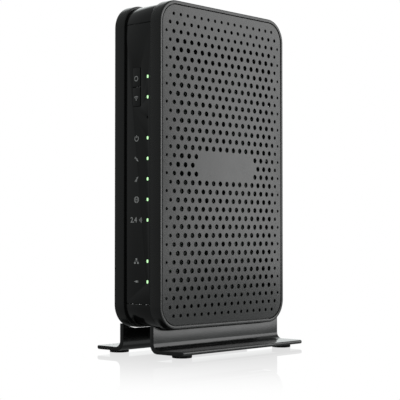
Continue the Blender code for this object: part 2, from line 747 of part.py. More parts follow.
def make_front_switch(name, height):
    face = FRONT_BOARD_Y - GAP - SWITCH_DEPTH
    low = (BUTTON_X - SWITCH_SIZE[0] / 2, face, height - SWITCH_SIZE[1] / 2)
    high = (BUTTON_X + SWITCH_SIZE[0] / 2, FRONT_BOARD_Y - GAP, height + SWITCH_SIZE[1] / 2)
    switch = box(name, low, high)
    well_depth = STEM_IN_SWITCH + BUTTON_TRAVEL + GAP
    start = (BUTTON_X, face - OVERLAP, height)
    well_length = well_depth + OVERLAP
    cut(switch, cylinder(f"{name}_well", "Y", start, well_length, BUTTON_STEM_RADIUS + GAP, 16))
    return link(switch, CHIP_BLACK, 0.5)


def make_front_board():
    """The board behind the fascia, with its lamp chips."""
    bottom = lamp_height(LAMP_ROWS[-1]) - FRONT_BOARD_PAST_LAMPS[0]
    top = lamp_height(LAMP_ROWS[0]) + FRONT_BOARD_PAST_LAMPS[1]
    low = (FRONT_BOARD_SIDES[0], FRONT_BOARD_Y, bottom)
    high = (FRONT_BOARD_SIDES[1], FRONT_BOARD_Y + BOARD_THICK, top)
    board = box("front_board", low, high)
    across = LAMP_CHIP_SIZE[0] / 2
    up = LAMP_CHIP_SIZE[1] / 2
    chips = []
    for row in LAMP_ROWS:
        z = lamp_height(row)
        chip_low = (LAMP_X - across, FRONT_BOARD_Y - LAMP_CHIP_DEPTH, z - up)
        chip_high = (LAMP_X + across, FRONT_BOARD_Y + LAMP_CHIP_SUNK, z + up)
        chips.append((chip_low, chip_high))
    join(board, boxes("lamp_chips", chips))
    return link(board, BOARD_GREEN, 0.5)


def make_light_guide():
    """One clear moulding: a bar with a finger to each lamp hole."""
    across = GUIDE_BAR_WIDTH / 2
    bar = (
        (LAMP_X - across, GUIDE_BAR_FRONT, lamp_height(LAMP_ROWS[-1]) - GUIDE_PAST_LAMPS),
        (LAMP_X + across, GUIDE_BAR_BACK, lamp_height(LAMP_ROWS[0]) + GUIDE_PAST_LAMPS),
    )
    guide = box("light_guide", *bar)
    fingers = []
    for row in LAMP_ROWS:
        z = lamp_height(row)
        low = (LAMP_X - LAMP_SIZE[0] / 2, FRONT_FACE - GUIDE_PROUD, z - LAMP_SIZE[1] / 2)
        high = (LAMP_X + LAMP_SIZE[0] / 2, GUIDE_BAR_BACK + GUIDE_LUG, z + LAMP_SIZE[1] / 2)
        fingers.append((low, high))
    join(guide, boxes("guide_fingers", fingers))
    return link(guide, LENS, 0.15)


# ================================================================ main board and what is on it
def make_main_board():
    low = (BOARD_X, BOARD_FRONT, BASE_Z + BOARD_FROM_ENDS)
    high = (BOARD_X + BOARD_THICK, BOARD_BACK, TOP_Z - BOARD_FROM_ENDS)
    board = box("main_board", low, high)
    bm = bmesh.new()
    for y, z in board_screw_places():
        hole_start = (BOARD_X - OVERLAP, y, z)
        add_cylinder(bm, "X", hole_start, BOARD_THICK + 2 * OVERLAP, SCREW_HOLE, 12)
    cut(board, mesh_object("board_holes", bm))
    return link(board, BOARD_GREEN, 0.5)


def make_heat_sink():
    """A comb outline, extruded along Z, on the modem chip."""
    step = (HEAT_SINK_WIDTH - FIN_THICK) / (HEAT_SINK_FINS - 1)
    top = HEAT_SINK_BASE + FIN_HEIGHT
    outline = [(0.0, 0.0), (HEAT_SINK_WIDTH, 0.0)]
    for number in range(HEAT_SINK_FINS):
        right = HEAT_SINK_WIDTH - number * step
        outline.append((right, top))
        outline.append((right - FIN_THICK, top))
        if number < HEAT_SINK_FINS - 1:
            outline.append((right - FIN_THICK, HEAT_SINK_BASE))
            outline.append((right - step, HEAT_SINK_BASE))
    plane = Matrix(((0, -1, 0, 0), (1, 0, 0, 0), (0, 0, 1, 0), (0, 0, 0, 1)))
    place = (PART_FACE - CHIP_HEIGHT - GAP, CHIP_Y - HEAT_SINK_WIDTH / 2, BASE_Z + CHIP_Z)
    sink = flat_solid("heat_sink", outline, HEAT_SINK_WIDTH, plane, place)
    link(sink, TIN, 0.35, 1.0)
    low_yz = (CHIP_Y - CHIP_SIDE / 2, CHIP_Z - CHIP_SIDE / 2)
    high_yz = (CHIP_Y + CHIP_SIDE / 2, CHIP_Z + CHIP_SIDE / 2)
    link(part_on_board("modem_chip", low_yz, high_yz, CHIP_HEIGHT), CHIP_BLACK, 0.4)


def make_tuner_shield():
    """A tinned can by the coax connector, open towards the board."""
    tall, deep, high = SHIELD_SIZE
    back = COAX_BLOCK_BACK - SHIELD_TO_COAX
    low_yz = (back - deep, SHIELD_Z - high / 2)
    high_yz = (back, SHIELD_Z + high / 2)
    shield = part_on_board("tuner_shield", low_yz, high_yz, tall)
    hollow_low = (PART_FACE - tall + SHIELD_WALL, low_yz[0] + SHIELD_WALL, BASE_Z + low_yz[1] + SHIELD_WALL)
    hollow_high = (PART_FACE + OVERLAP, high_yz[0] - SHIELD_WALL, BASE_Z + high_yz[1] - SHIELD_WALL)
    cut(shield, box("shield_hollow", hollow_low, hollow_high))
    return link(shield, TIN, 0.3, 1.0)


def make_chips():
    for name, low_yz, high_yz, height in (
        ("memory_chip_1", (0.0200, 0.1100), (0.0310, 0.1190), 0.0011),
        ("memory_chip_2", (0.0200, 0.1250), (0.0310, 0.1340), 0.0011),
        ("flash_chip", (0.0200, 0.1430), (0.0280, 0.1490), 0.0014),
        ("power_inductor", (-0.0250, 0.0300), (-0.0150, 0.0400), 0.0050),
        ("lan_magnetics", (0.0080, 0.0850), (0.0180, 0.0990), 0.0055),
    ):
        link(part_on_board(name, low_yz, high_yz, height), CHIP_BLACK, 0.4)


def make_capacitors():
    """Two upright cans that stand towards -X."""
    profile = [
        (0.0, CAPACITOR_HEIGHT),
        (CAPACITOR_RADIUS - CAPACITOR_ROUND, CAPACITOR_HEIGHT),
        (CAPACITOR_RADIUS, CAPACITOR_HEIGHT - CAPACITOR_ROUND),
        (CAPACITOR_RADIUS, 0.0),
        (0.0, 0.0),
    ]
    for number, z in enumerate(CAPACITOR_Z):
        start = (PART_FACE, CAPACITOR_Y, BASE_Z + z)
        capacitor = turned(f"capacitor_{number + 1}", profile, "X", start, 16)
        capacitor.matrix_world = along_x(start, -1)
        link(smooth(capacitor), CHIP_BLACK, 0.35)


def make_antennas():
    """Two small antenna boards by the top, each with a lead to the main board."""
    thick, deep, high = ANTENNA_SIZE
    z_top = TOP_Z - BAND_INNER - GAP
    for number, y in enumerate(ANTENNA_Y):
        low = (ANTENNA_X, y, z_top - high)
        antenna = box(f"antenna_{number + 1}", low, (ANTENNA_X + thick, y + deep, z_top))
        link(antenna, BOARD_GREEN, 0.5)
        lead_x = ANTENNA_X + thick + GAP + LEAD_RADIUS
        lead_y = y + deep / 2
        start = Vector((lead_x, lead_y, z_top - LEAD_FROM_TOP))
        end_z = TOP_Z - BOARD_FROM_ENDS - LEAD_BELOW_BOARD_TOP
        end = Vector((PART_FACE - LEAD_RADIUS, lead_y + LEAD_DRIFT, end_z))
        link(tube(f"antenna_lead_{number + 1}", lead_route(start, end), LEAD_RADIUS), CHIP_BLACK, 0.4)


def lead_route(start, end, steps=10):
    """Points along a lead that sags between its ends."""
    route = []
    for step in range(steps + 1):
        along = step / steps
        sag = math.sin(math.pi * along)
        point = start.lerp(end, along)
        route.append(
            (
                point.x - LEAD_SAG[0] * sag,
                point.y + LEAD_SAG[1] * sag,
                point.z - LEAD_SAG[2] * sag,
            )
        )
    return route


# ================================================================ ports
def make_lan_jack(name, height):
    tall, wide, deep = LAN_SIZE
    z = BASE_Z + height
    low = (PART_FACE - tall, PORT_FACE - deep, z - wide / 2)
    jack = box(name, low, (PART_FACE, PORT_FACE, z + wide / 2))
    socket_low_x = PART_FACE - tall + LAN_WALL
    socket_high_x = socket_low_x + LAN_SOCKET[0]
    back = PORT_FACE - LAN_SOCKET[2]
    socket = box(
        f"{name}_socket",
        (socket_low_x, back, z - LAN_SOCKET[1] / 2),
        (socket_high_x, PORT_FACE + OVERLAP, z + LAN_SOCKET[1] / 2),
    )
    cut(jack, socket)
    notch = box(
        f"{name}_notch",
        (socket_high_x - OVERLAP, back + OVERLAP, z - LAN_NOTCH[1] / 2),
        (socket_high_x + LAN_NOTCH[0], PORT_FACE + 2 * OVERLAP, z + LAN_NOTCH[1] / 2),
    )
    cut(jack, notch)
    return link(jack, CHIP_BLACK, 0.45)


def make_usb_port():
    tall, wide, deep = USB_SIZE
    z = BASE_Z + USB_Z
    low_x = PART_FACE - tall
    low = (low_x, PORT_FACE - deep, z - wide / 2)
    port = box("usb_port", low, (PART_FACE, PORT_FACE, z + wide / 2))
    back = PORT_FACE - USB_SOCKET[2]
    socket_low_x = low_x + USB_WALL
    socket_high_x = socket_low_x + USB_SOCKET[0]
    socket = box(
        "usb_socket",
        (socket_low_x, back, z - USB_SOCKET[1] / 2),
        (socket_high_x, PORT_FACE + OVERLAP, z + USB_SOCKET[1] / 2),
    )
    cut(port, socket)
    tongue_x = socket_high_x - USB_TONGUE_GAP - USB_TONGUE[0]
    tongue = box(
        "usb_tongue",
        (tongue_x, back - OVERLAP, z - USB_TONGUE[1] / 2),
        (tongue_x + USB_TONGUE[0], back + USB_TONGUE[2], z + USB_TONGUE[1] / 2),
    )
    join(port, tongue)
    return link(port, TIN, 0.3, 1.0)


def make_dc_jack():
    tall, wide, deep = DC_SIZE
    z = BASE_Z + DC_Z
    low = (PART_FACE - tall, PORT_FACE - deep, z - wide / 2)
    jack = box("dc_jack", low, (PART_FACE, PORT_FACE, z + wide / 2))
    x = PART_FACE - tall / 2
    start = (x, PORT_FACE - DC_SOCKET_DEPTH, z)
    cut(jack, cylinder("dc_socket", "Y", start, DC_SOCKET_DEPTH + OVERLAP, DC_SOCKET_RADIUS, 24))
    seat_start = (x, PORT_FACE - deep - OVERLAP, z)
    cut(jack, cylinder("dc_pin_seat", "Y", seat_start, deep, DC_PIN_RADIUS + GAP, 16))
    link(jack, CHIP_BLACK, 0.4)
    length = deep - OVERLAP - DC_PIN_SUNK
    profile = [
        (0.0, length),
        (DC_PIN_RADIUS / 2, length),
        (DC_PIN_RADIUS, length - DC_PIN_TIP),
        (DC_PIN_RADIUS, 0.0),
        (0.0, 0.0),
    ]
    pin_start = (x, PORT_FACE - deep + OVERLAP, z)
    link(smooth(turned("dc_pin", profile, "Y", pin_start, 16)), NICKEL, 0.25, 1.0)


def make_coax():
    z = BASE_Z + COAX_Z
    tall, wide, deep = COAX_BLOCK
    block_front = PLATE_INNER - GAP
    low = (PORT_X - tall / 2, COAX_BLOCK_BACK, z - wide / 2)
    block = box("coax_connector", low, (PORT_X + tall / 2, block_front, z + wide / 2))
    base_low = (PORT_X, COAX_BLOCK_BACK, z - wide / 3)
    base = box("coax_base", base_low, (PART_FACE, block_front - COAX_BASE_SHORT, z + wide / 3))
    join(block, base)
    tip = REAR_FACE + COAX_REACH
    barrel_start = (PORT_X, PLATE_INNER - 3 * OVERLAP, z)
    barrel_length = tip - barrel_start[1]
    join(block, cylinder("coax_barrel", "Y", barrel_start, barrel_length, COAX_RADIUS, 28))
    bore_start = (PORT_X, tip - COAX_BORE_DEPTH, z)
    cut(block, cylinder("coax_bore", "Y", bore_start, COAX_BORE_DEPTH + OVERLAP, COAX_BORE, 24))
    link(smooth(block), NICKEL, 0.28, 1.0)
    nut_start = (PORT_X, REAR_FACE + GAP, z)
    nut = cylinder("coax_nut", "Y", nut_start, COAX_NUT_THICK, COAX_NUT_RADIUS, 6)
    hole_start = (PORT_X, REAR_FACE + GAP - OVERLAP, z)
    hole_length = COAX_NUT_THICK + 2 * OVERLAP
    cut(nut, cylinder("coax_nut_hole", "Y", hole_start, hole_length, COAX_RADIUS + GAP, 28))
    link(nut, NICKEL, 0.3, 1.0)
    make_coax_insulator((PORT_X, tip - COAX_BORE_DEPTH + GAP, z))


def make_coax_insulator(place):
    """The white plug in the connector's bore, with a blind hole for the cable's wire."""
    length = COAX_BORE_DEPTH - GAP - COAX_PIN_HOLE
    radius = COAX_BORE - GAP
    profile = [
        (0.0, length - COAX_PIN_DEPTH),
        (COAX_PIN_HOLE, length - COAX_PIN_DEPTH),
        (COAX_PIN_HOLE, length),
        (radius - COAX_EDGE, length),
        (radius, length - COAX_EDGE),
        (radius, 0.0),
        (0.0, 0.0),
    ]
    link(smooth(turned("coax_insulator", profile, "Y", place)), WHITE_PLASTIC, 0.4)


def make_power_button():
    """The rear on/off button; it slides along -Y and its origin is on its axis."""
    place = (PORT_X, REAR_FACE, BASE_Z + POWER_Z)
    lip_radius = POWER_BUTTON_RADIUS + POWER_LIP
    lip_end = -FASCIA_THICK - GAP
    lip_start = lip_end - POWER_LIP
    stem_end = lip_start - POWER_STEM_LENGTH
    profile = [
        (0.0, POWER_BUTTON_SHOW),
        (POWER_BUTTON_RADIUS - POWER_EDGE, POWER_BUTTON_SHOW),
        (POWER_BUTTON_RADIUS, POWER_BUTTON_SHOW - POWER_EDGE),
        (POWER_BUTTON_RADIUS, lip_end),
        (lip_radius, lip_end),
        (lip_radius, lip_start),
        (POWER_STEM_RADIUS, lip_start),
        (POWER_STEM_RADIUS, stem_end),
        (0.0, stem_end),
    ]
    link(smooth(turned("power_button", profile, "Y", place)), FASCIA_PLASTIC, 0.3)
    tall, wide, deep = POWER_SWITCH_SIZE
    face = REAR_FACE + lip_start - POWER_TRAVEL - SPARE_TRAVEL
    z = BASE_Z + POWER_Z
    low = (PART_FACE - tall, face - deep, z - wide / 2)
    switch = box("power_switch", low, (PART_FACE, face, z + wide / 2))
    well_end = REAR_FACE + stem_end - POWER_TRAVEL - SPARE_TRAVEL
    well_start = (PORT_X, well_end, z)
    well_length = face - well_end + OVERLAP
    cut(switch, cylinder("power_well", "Y", well_start, well_length, POWER_STEM_RADIUS + GAP, 16))
    link(switch, CHIP_BLACK, 0.45)


def make_reset_button():
    """A small plunger behind the reset hole; it slides along -Y."""
    z = BASE_Z + RESET_Z
    place = (PORT_X, PLATE_INNER - RESET_BEHIND_PLATE, z)
    profile = [
        (0.0, 0.0),
        (RESET_RADIUS, 0.0),
        (RESET_RADIUS, -RESET_LENGTH),
        (0.0, -RESET_LENGTH),
    ]
    link(smooth(turned("reset_button", profile, "Y", place, 12)), WHITE_PLASTIC, 0.4)
    deep, high = RESET_SWITCH_SIZE
    face = place[1] - RESET_STANDS_OUT
    low = (PORT_X - RESET_SWITCH_PAST_AXIS, face - deep, z - high / 2)
    switch = box("reset_switch", low, (PART_FACE, face, z + high / 2))
    well_end = place[1] - RESET_LENGTH - RESET_TRAVEL - GAP
    well_start = (PORT_X, well_end, z)
    well_length = face - well_end + OVERLAP
    cut(switch, cylinder("reset_well", "Y", well_start, well_length, RESET_RADIUS + GAP, 16))
    link(switch, CHIP_BLACK, 0.45)


# ================================================================ screws
def screw(name, place, side, length):
    """A screw along X: its head is towards side, and place is the head's underside."""
    profile = [
        (0.0, SCREW_HEAD_HEIGHT),
        (SCREW_HEAD_RADIUS * 0.75, SCREW_HEAD_HEIGHT),
        (SCREW_HEAD_RADIUS, SCREW_HEAD_HEIGHT * 0.5),
        (SCREW_HEAD_RADIUS, 0.0),
        (SCREW_RADIUS, 0.0),
        (SCREW_RADIUS, SCREW_TIP - length),
        (SCREW_RADIUS * 0.3, -length),
        (0.0, -length),
    ]
    made = turned(name, profile, "X", place, 12)
    made.matrix_world = along_x(place, side)
    return link(smooth(made), TIN, 0.3, 1.0)


def make_screws():
    number = 1
    for side in (-1, 1):
        for y, z in cover_screw_places(side):
            place = (side * (LEDGE_TOP - SCREW_HEAD_HEIGHT), y, z)
            screw(f"cover_screw_{number}", place, side, COVER_SCREW_LENGTH)
            number += 1
    for number, (y, z) in enumerate(board_screw_places()):
        screw(f"board_screw_{number + 1}", (BOARD_X - GAP, y, z), -1, BOARD_SCREW_LENGTH)


# ================================================================ stand
def wall_section():
    """One side of the stand in section: a wall that flares out into the flange."""
    inner = arc((WALL_IN + FLARE_OUTSIDE, FOOT_SHOW + FLARE_OUTSIDE), FLARE_OUTSIDE, 180, 270, 6)
    edge_x = FLANGE_OUT - FLANGE_EDGE
    tip = arc((edge_x, FOOT_SHOW + FLANGE_EDGE), FLANGE_EDGE, 270, 360, 2)
    tip += arc((edge_x, FLANGE_TOP - FLANGE_EDGE), FLANGE_EDGE, 0, 90, 2)
    outer = arc((WALL_OUT + FLARE_INSIDE, FLANGE_TOP + FLARE_INSIDE), FLARE_INSIDE, 270, 180, 6)
    top = WALL_TOP + horn_rise(STAND_LENGTH / 2) + OVERLAP
    return inner + tip + outer + [(WALL_OUT, top), (WALL_IN, top)]


def horn_rise(y):
    """How far the wall's top edge has risen at a distance from the middle."""
    past = max(abs(y) - HORN_START, 0.0)
    return HORN_RADIUS - math.sqrt(HORN_RADIUS ** 2 - past ** 2)


def wall_sweep(steps=6):
    """What is cut away above the walls: their top edge, closed high above the stand."""
    half = STAND_LENGTH / 2
    reach = [HORN_START + (half - HORN_START) * step / steps for step in range(steps + 1)]
    end = half + 2 * OVERLAP
    above = BASE_Z + BODY_HEIGHT / 2
    edge = [(y, WALL_TOP + horn_rise(y)) for y in reach] + [(end, WALL_TOP + horn_rise(half))]
    return edge + [(end, above), (-end, above)] + [(-y, z) for y, z in reversed(edge)]


def hook_box(y, clearance, low, high):
    across = HOOK_SIZE[0] / 2 + clearance
    along = HOOK_SIZE[1] / 2 + clearance
    return ((-across, y - along, low), (across, y + along, high))


def make_stand():
    """Two flared walls on flanges, a bridge between them, and a tongue with two hooks."""
    section = wall_section()
    stand = flat_solid("stand", section, STAND_LENGTH, ALONG_Y)
    mirrored = [(-x, z) for x, z in reversed(section)]
    join(stand, flat_solid("stand_left_wall", mirrored, STAND_LENGTH, ALONG_Y))
    bridge_low = (-WALL_IN - OVERLAP, -BRIDGE_LENGTH / 2, WALL_TOP - BRIDGE_THICK)
    bridge_high = (WALL_IN + OVERLAP, BRIDGE_LENGTH / 2, WALL_TOP + OVERLAP)
    join(stand, box("stand_bridge", bridge_low, bridge_high))
    plan = rounded_rectangle(2 * FLANGE_OUT, STAND_LENGTH, FLANGE_CORNER, 4)
    combine(stand, flat_solid("stand_plan", plan, BODY_HEIGHT, ALONG_Z), "INTERSECT")
    cut(stand, flat_solid("stand_sweep", wall_sweep(), 2 * BODY_WIDTH, ALONG_X))
    tongue_half = HALF_BAND - GAP
    tongue_top = BASE_Z + BAND_STEP - GAP
    tongue_low = (-tongue_half, -BRIDGE_LENGTH / 2 + GAP, WALL_TOP - OVERLAP)
    tongue = box("stand_tongue", tongue_low, (tongue_half, BRIDGE_LENGTH / 2 - GAP, tongue_top))
    join(stand, tongue)
    hooks = [
        hook_box(y, 0.0, tongue_top - OVERLAP / 2, tongue_top + HOOK_RISE)
        for y in (-HOOK_Y, HOOK_Y)
    ]
    join(stand, boxes("stand_hooks", hooks))
    bm = bmesh.new()
    for x, y in foot_places():
        add_cylinder(bm, "Z", (x, y, 0.0), FOOT_SHOW + FOOT_SUNK, FOOT_RADIUS + GAP, 24)
    cut(stand, mesh_object("foot_seats", bm))
    return link(smooth(stand), STAND_PLASTIC, 0.35)


def foot_places():
    return [(x, y) for x in (-FOOT_X, FOOT_X) for y in (-FOOT_Y, FOOT_Y)]


def make_feet():
    height = FOOT_SHOW + FOOT_SUNK - GAP
    profile = [
        (0.0, height),
        (FOOT_RADIUS, height),
        (FOOT_RADIUS, FOOT_EDGE),
        (FOOT_RADIUS - FOOT_EDGE, 0.0),
        (0.0, 0.0),
    ]
    for number, (x, y) in enumerate(foot_places()):
        link(smooth(turned(f"foot_{number + 1}", profile, "Z", (x, y, 0.0), 24)), RUBBER, 0.8)


# ================================================================ the whole modem
def centre_on_overall_box():
    """Parents every piece and cutter to one empty, which moves the origin."""
    origin = bpy.data.objects.new("cable_modem_origin", None)
    origin.location = (0.0, ORIGIN_SHIFT, 0.0)
    PARTS.objects.link(origin)
    for obj in list(PARTS.objects) + list(CUTTERS.objects):
        if obj is not origin:
            obj.parent = origin


def main():
    for name, side in (("left", -1), ("right", 1)):
        make_cover(f"{name}_cover", side)
        make_panel(f"{name}_vent_panel", side)
    make_mid_frame()
    make_front_fascia()
    make_port_plate()
    for name, height in zip(("wps", "wifi"), button_heights()):
        make_front_button(f"{name}_button", height)
        make_front_switch(f"{name}_switch", height)
    make_front_board()
    make_light_guide()
    make_main_board()
    make_heat_sink()
    make_tuner_shield()
    make_chips()
    make_capacitors()
    make_antennas()
    for number, height in enumerate(LAN_Z):
        make_lan_jack(f"lan_jack_{number + 1}", height)
    make_usb_port()
    make_dc_jack()
    make_coax()
    make_power_button()
    make_reset_button()
    make_screws()
    make_stand()
    make_feet()
    centre_on_overall_box()


main()
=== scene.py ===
import math

import bmesh
import bpy
from mathutils import Matrix, Vector, geometry


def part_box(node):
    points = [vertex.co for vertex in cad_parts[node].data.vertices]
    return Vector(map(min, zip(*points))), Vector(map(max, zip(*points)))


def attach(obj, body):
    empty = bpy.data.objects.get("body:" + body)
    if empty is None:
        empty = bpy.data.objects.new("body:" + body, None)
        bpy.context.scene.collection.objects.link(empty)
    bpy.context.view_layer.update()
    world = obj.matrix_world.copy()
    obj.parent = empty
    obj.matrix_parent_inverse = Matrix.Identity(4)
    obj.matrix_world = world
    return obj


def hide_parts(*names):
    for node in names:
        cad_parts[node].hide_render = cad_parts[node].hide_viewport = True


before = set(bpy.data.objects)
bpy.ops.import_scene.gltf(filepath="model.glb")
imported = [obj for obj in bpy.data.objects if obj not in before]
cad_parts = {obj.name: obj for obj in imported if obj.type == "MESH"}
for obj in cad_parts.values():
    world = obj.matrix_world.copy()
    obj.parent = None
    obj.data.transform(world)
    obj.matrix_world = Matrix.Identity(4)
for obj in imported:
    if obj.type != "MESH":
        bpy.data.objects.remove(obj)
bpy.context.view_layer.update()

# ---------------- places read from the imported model
COVER_LOW, COVER_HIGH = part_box("right_cover")
_, PANEL_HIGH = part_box("right_vent_panel")
_, BAND_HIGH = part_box("mid_frame")
FASCIA_LOW, FASCIA_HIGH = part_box("front_fascia")
PLATE_LOW, PLATE_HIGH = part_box("port_plate")
GUIDE_LOW, GUIDE_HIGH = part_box("light_guide")
STAND_LOW, STAND_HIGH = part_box("stand")

MIDDLE_Y = (COVER_LOW.y + COVER_HIGH.y) / 2
MIDDLE_Z = (COVER_LOW.z + COVER_HIGH.z) / 2
BODY_DEPTH = COVER_HIGH.y - COVER_LOW.y
BODY_HEIGHT = COVER_HIGH.z - COVER_LOW.z
HALF_DEPTH = BODY_DEPTH / 2
HALF_HEIGHT = BODY_HEIGHT / 2
HALF_WIDTH = COVER_HIGH.x
HALF_BAND = COVER_LOW.x

# ---------------- housing sizes
CORNER_RADIUS = 0.0147
CORNER_STEPS = 22
EDGE_ROUND = 0.0008
LIP_ROUND = 0.0005
RIM_WIDTH = 0.0021
RIM_EDGE = 0.0002
LEDGE_DEPTH = 0.0018
LEDGE_THICK = 0.0018
LEDGE_WIDTH = 0.0030
COVER_WALL = 0.0018
GAP = 0.0003
SAME_PLACE = 1e-7                 # points nearer than this are one
PANEL_THICK = 0.0012
PANEL_CROWN = 0.0020
PANEL_EDGE = 0.0002
PANEL_GAP = 0.00045                # between the rim and the panel
BAND_STEP = FASCIA_LOW.y - COVER_LOW.y
BAND_INSET = COVER_WALL + GAP
BAND_THICK = 0.0018

# ---------------- vent holes
HOLE_PITCH = 0.006225
ROW_PITCH = HOLE_PITCH * math.sqrt(3) / 2
LAST_COLUMN = 34                  # half-pitch columns, so each row uses every other one
ROWS_EACH_WAY = 17
HOLE_SIZE = 0.0031
HOLE_SIZE_BY_COLUMN = (0.0017, 0.0022, 0.00265)
HOLE_SIZE_BY_ROW = (0.0020, 0.0023, 0.0025, 0.0029)
HOLE_CHAMFER = 0.00012
HOLE_TO_EDGE = 0.0012             # the least from an inner point of the panel to its outline
EDGE_PART = 0.0060                # about how far apart the points of the panel's outline are
HOLE_STEPS = 18
BLANK_ROWS = 1                    # rows each way of the middle that leave the field plain
BLANK_COLUMNS = (8, 7)            # last holed column beside the field, in even and in odd rows
BACKING_DEPTH = 0.0017            # below the panel's outer face
BACKING_THICK = 0.0030

LAMP_ROWS = (0, 1, 3, 4, 5, 6, 7, 9, 10)
SENSOR_ROW = 2
LAST_LAMP_ROW = 10
GUIDE_OVERRUN = 0.0025
LAMP_X = (GUIDE_LOW.x + GUIDE_HIGH.x) / 2
LAMP_TOP_Z = GUIDE_HIGH.z - GUIDE_OVERRUN
LAMP_PITCH = (GUIDE_HIGH.z - GUIDE_LOW.z - 2 * GUIDE_OVERRUN) / LAST_LAMP_ROW
LAMP_SIZE = (0.0012, 0.0020)
LAMP_CLEARANCE = 0.00015
LAMP_TIP = 0.0004                 # how much of a lamp's end glows
SENSOR_RADIUS = 0.0007
BUTTON_HALF = 0.0032              # half the width of a front button's face
THROUGH = 0.0010                  # how far a cutter runs past what it cuts
MARK_X = -0.0012
MARK_LIFT = 0.00004


# ================ making meshes
def arc(centre, radius, start, end, steps):
    """Points along an arc, with angles in degrees."""
    points = []
    for step in range(steps + 1):
        turn = math.radians(start + (end - start) * step / steps)
        points.append((centre[0] + radius * math.cos(turn), centre[1] + radius * math.sin(turn)))
    return points


def rounded_rectangle(width, height, radius, steps):
    across = width / 2 - radius
    up = height / 2 - radius
    points = []
    for side, end, start in ((1, 1, 0), (-1, 1, 90), (-1, -1, 180), (1, -1, 270)):
        points += arc((side * across, end * up), radius, start, start + 90, steps)
    return points


def housing_outline(inset):
    width = BODY_DEPTH - 2 * inset
    height = BODY_HEIGHT - 2 * inset
    return rounded_rectangle(width, height, CORNER_RADIUS - inset, CORNER_STEPS)


def linked(name, data):
    obj = bpy.data.objects.new(name, data)
    bpy.context.scene.collection.objects.link(obj)
    return obj


def middle_of(low, high):
    return [(a + b) / 2 for a, b in zip(low, high)]


def placed(bm, place):
    bmesh.ops.transform(bm, matrix=place, verts=bm.verts)
    return bm


def painted(bm, material):
    for face in bm.faces:
        face.material_index = material
    return bm


def along_y(x, y, z, sign=1):
    """Lays a shape made along +Z along +Y, or along -Y where the sign is -1."""
    return Matrix.Translation((x, y, z)) @ Matrix.Rotation(-sign * math.pi / 2, 4, "X")


def skin(bm, rings):
    """Faces from each ring of vertices to the next; an end ring may be one vertex."""
    steps = max(len(ring) for ring in rings)
    for first, second in zip(rings, rings[1:]):
        for i in range(steps):
            j = (i + 1) % steps
            corners = [ring[k % len(ring)] for ring, k in ((first, i), (first, j), (second, j), (second, i))]
            bm.faces.new(list(dict.fromkeys(corners)))


def piece(name, bm, materials, body, stands_for=(), sharp=35.0):
    """Makes a finished piece, which rides on a body and may stand for CAD nodes."""
    bmesh.ops.recalc_face_normals(bm, faces=bm.faces)
    mesh = bpy.data.meshes.new(name)
    bm.to_mesh(mesh)
    bm.free()
    mesh.shade_smooth()
    mesh.set_sharp_from_angle(angle=math.radians(sharp))
    obj = linked(name, mesh)
    for material in materials:
        mesh.materials.append(material)
    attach(obj, body)
    if stands_for:
        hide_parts(*stands_for)


def add_box(bm, low, high):
    low = Vector(low)
    high = Vector(high)
    made = bmesh.ops.create_cube(bm, size=1.0)
    place = Matrix.Translation((low + high) / 2) @ Matrix.Diagonal((*(high - low), 1.0))
    bmesh.ops.transform(bm, matrix=place, verts=made["verts"])


def bevelled(bm, edges, width, segments):
    bmesh.ops.bevel(
        bm, geom=edges, offset=width, segments=segments, profile=0.5, affect="EDGES", clamp_overlap=True
    )
    return bm


def add_round_box(bm, low, high, radius, segments=2, material=0):
    """A box with rounded edges."""
    part = box_bm(low, high)
    join(bm, painted(bevelled(part, part.edges[:], radius, segments), material))


def join(bm, part, place=Matrix.Identity(4)):
    """Copies one bmesh into another and frees it."""
    mesh = bpy.data.meshes.new("joined")
    placed(part, place).to_mesh(mesh)
    part.free()
    bm.from_mesh(mesh)
    bpy.data.meshes.remove(mesh)


def turned(profile, steps, place=Matrix.Identity(4)):
    """A closed solid from (radius, height) points, turned about +Z, then placed."""
    bm = bmesh.new()
    rings = []
    for radius, height in profile:
        turns = [2 * math.pi * step / steps for step in range(steps if radius else 1)]
        rings.append([bm.verts.new((radius * math.cos(t), radius * math.sin(t), height)) for t in turns])
    skin(bm, rings)
    return placed(bm, place)


def ring_bm(profile):
    """A closed profile of (inset, x) points carried round the housing's outline."""
    bm = bmesh.new()
    rings = []
    for inset, x in profile:
        outline = housing_outline(inset)
        rings.append([bm.verts.new((x, MIDDLE_Y + y, MIDDLE_Z + z)) for y, z in outline])
    skin(bm, rings + rings[:1])
    return bm


def prism(outline, low, high, place=Matrix.Identity(4)):
    """A flat outline in X and Y made solid between two heights, then placed."""
    bm = bmesh.new()
    bottom, top = [[bm.verts.new((x, y, height)) for x, y in outline] for height in (low, high)]
    bm.faces.new(list(reversed(bottom)))
    bm.faces.new(top)
    skin(bm, [bottom, top])
    return placed(bm, place)


def pin(radius, turns, low, high, place):
    """A round bar; its turns are the degrees its points cover and the steps between them."""
    return prism(arc((0, 0), radius, 0, *turns), low, high, place)


def carved(bm, cutters):
    """The shape less each cutter, as a new bmesh."""
    made = []
    for part in (bm, *cutters):
        bmesh.ops.recalc_face_normals(part, faces=part.faces)
        mesh = bpy.data.meshes.new("carved")
        part.to_mesh(mesh)
        part.free()
        made.append(linked("carved", mesh))
    for cutter in made[1:]:
        modifier = made[0].modifiers.new("cut", "BOOLEAN")
        modifier.operation = "DIFFERENCE"
        modifier.solver = "EXACT"
        modifier.object = cutter
    graph = bpy.context.evaluated_depsgraph_get()
    result = bpy.data.meshes.new_from_object(made[0].evaluated_get(graph))
    out = bmesh.new()
    out.from_mesh(result)
    bpy.data.meshes.remove(result)
    for obj in made:
        bpy.data.objects.remove(obj, do_unlink=True)
    return out


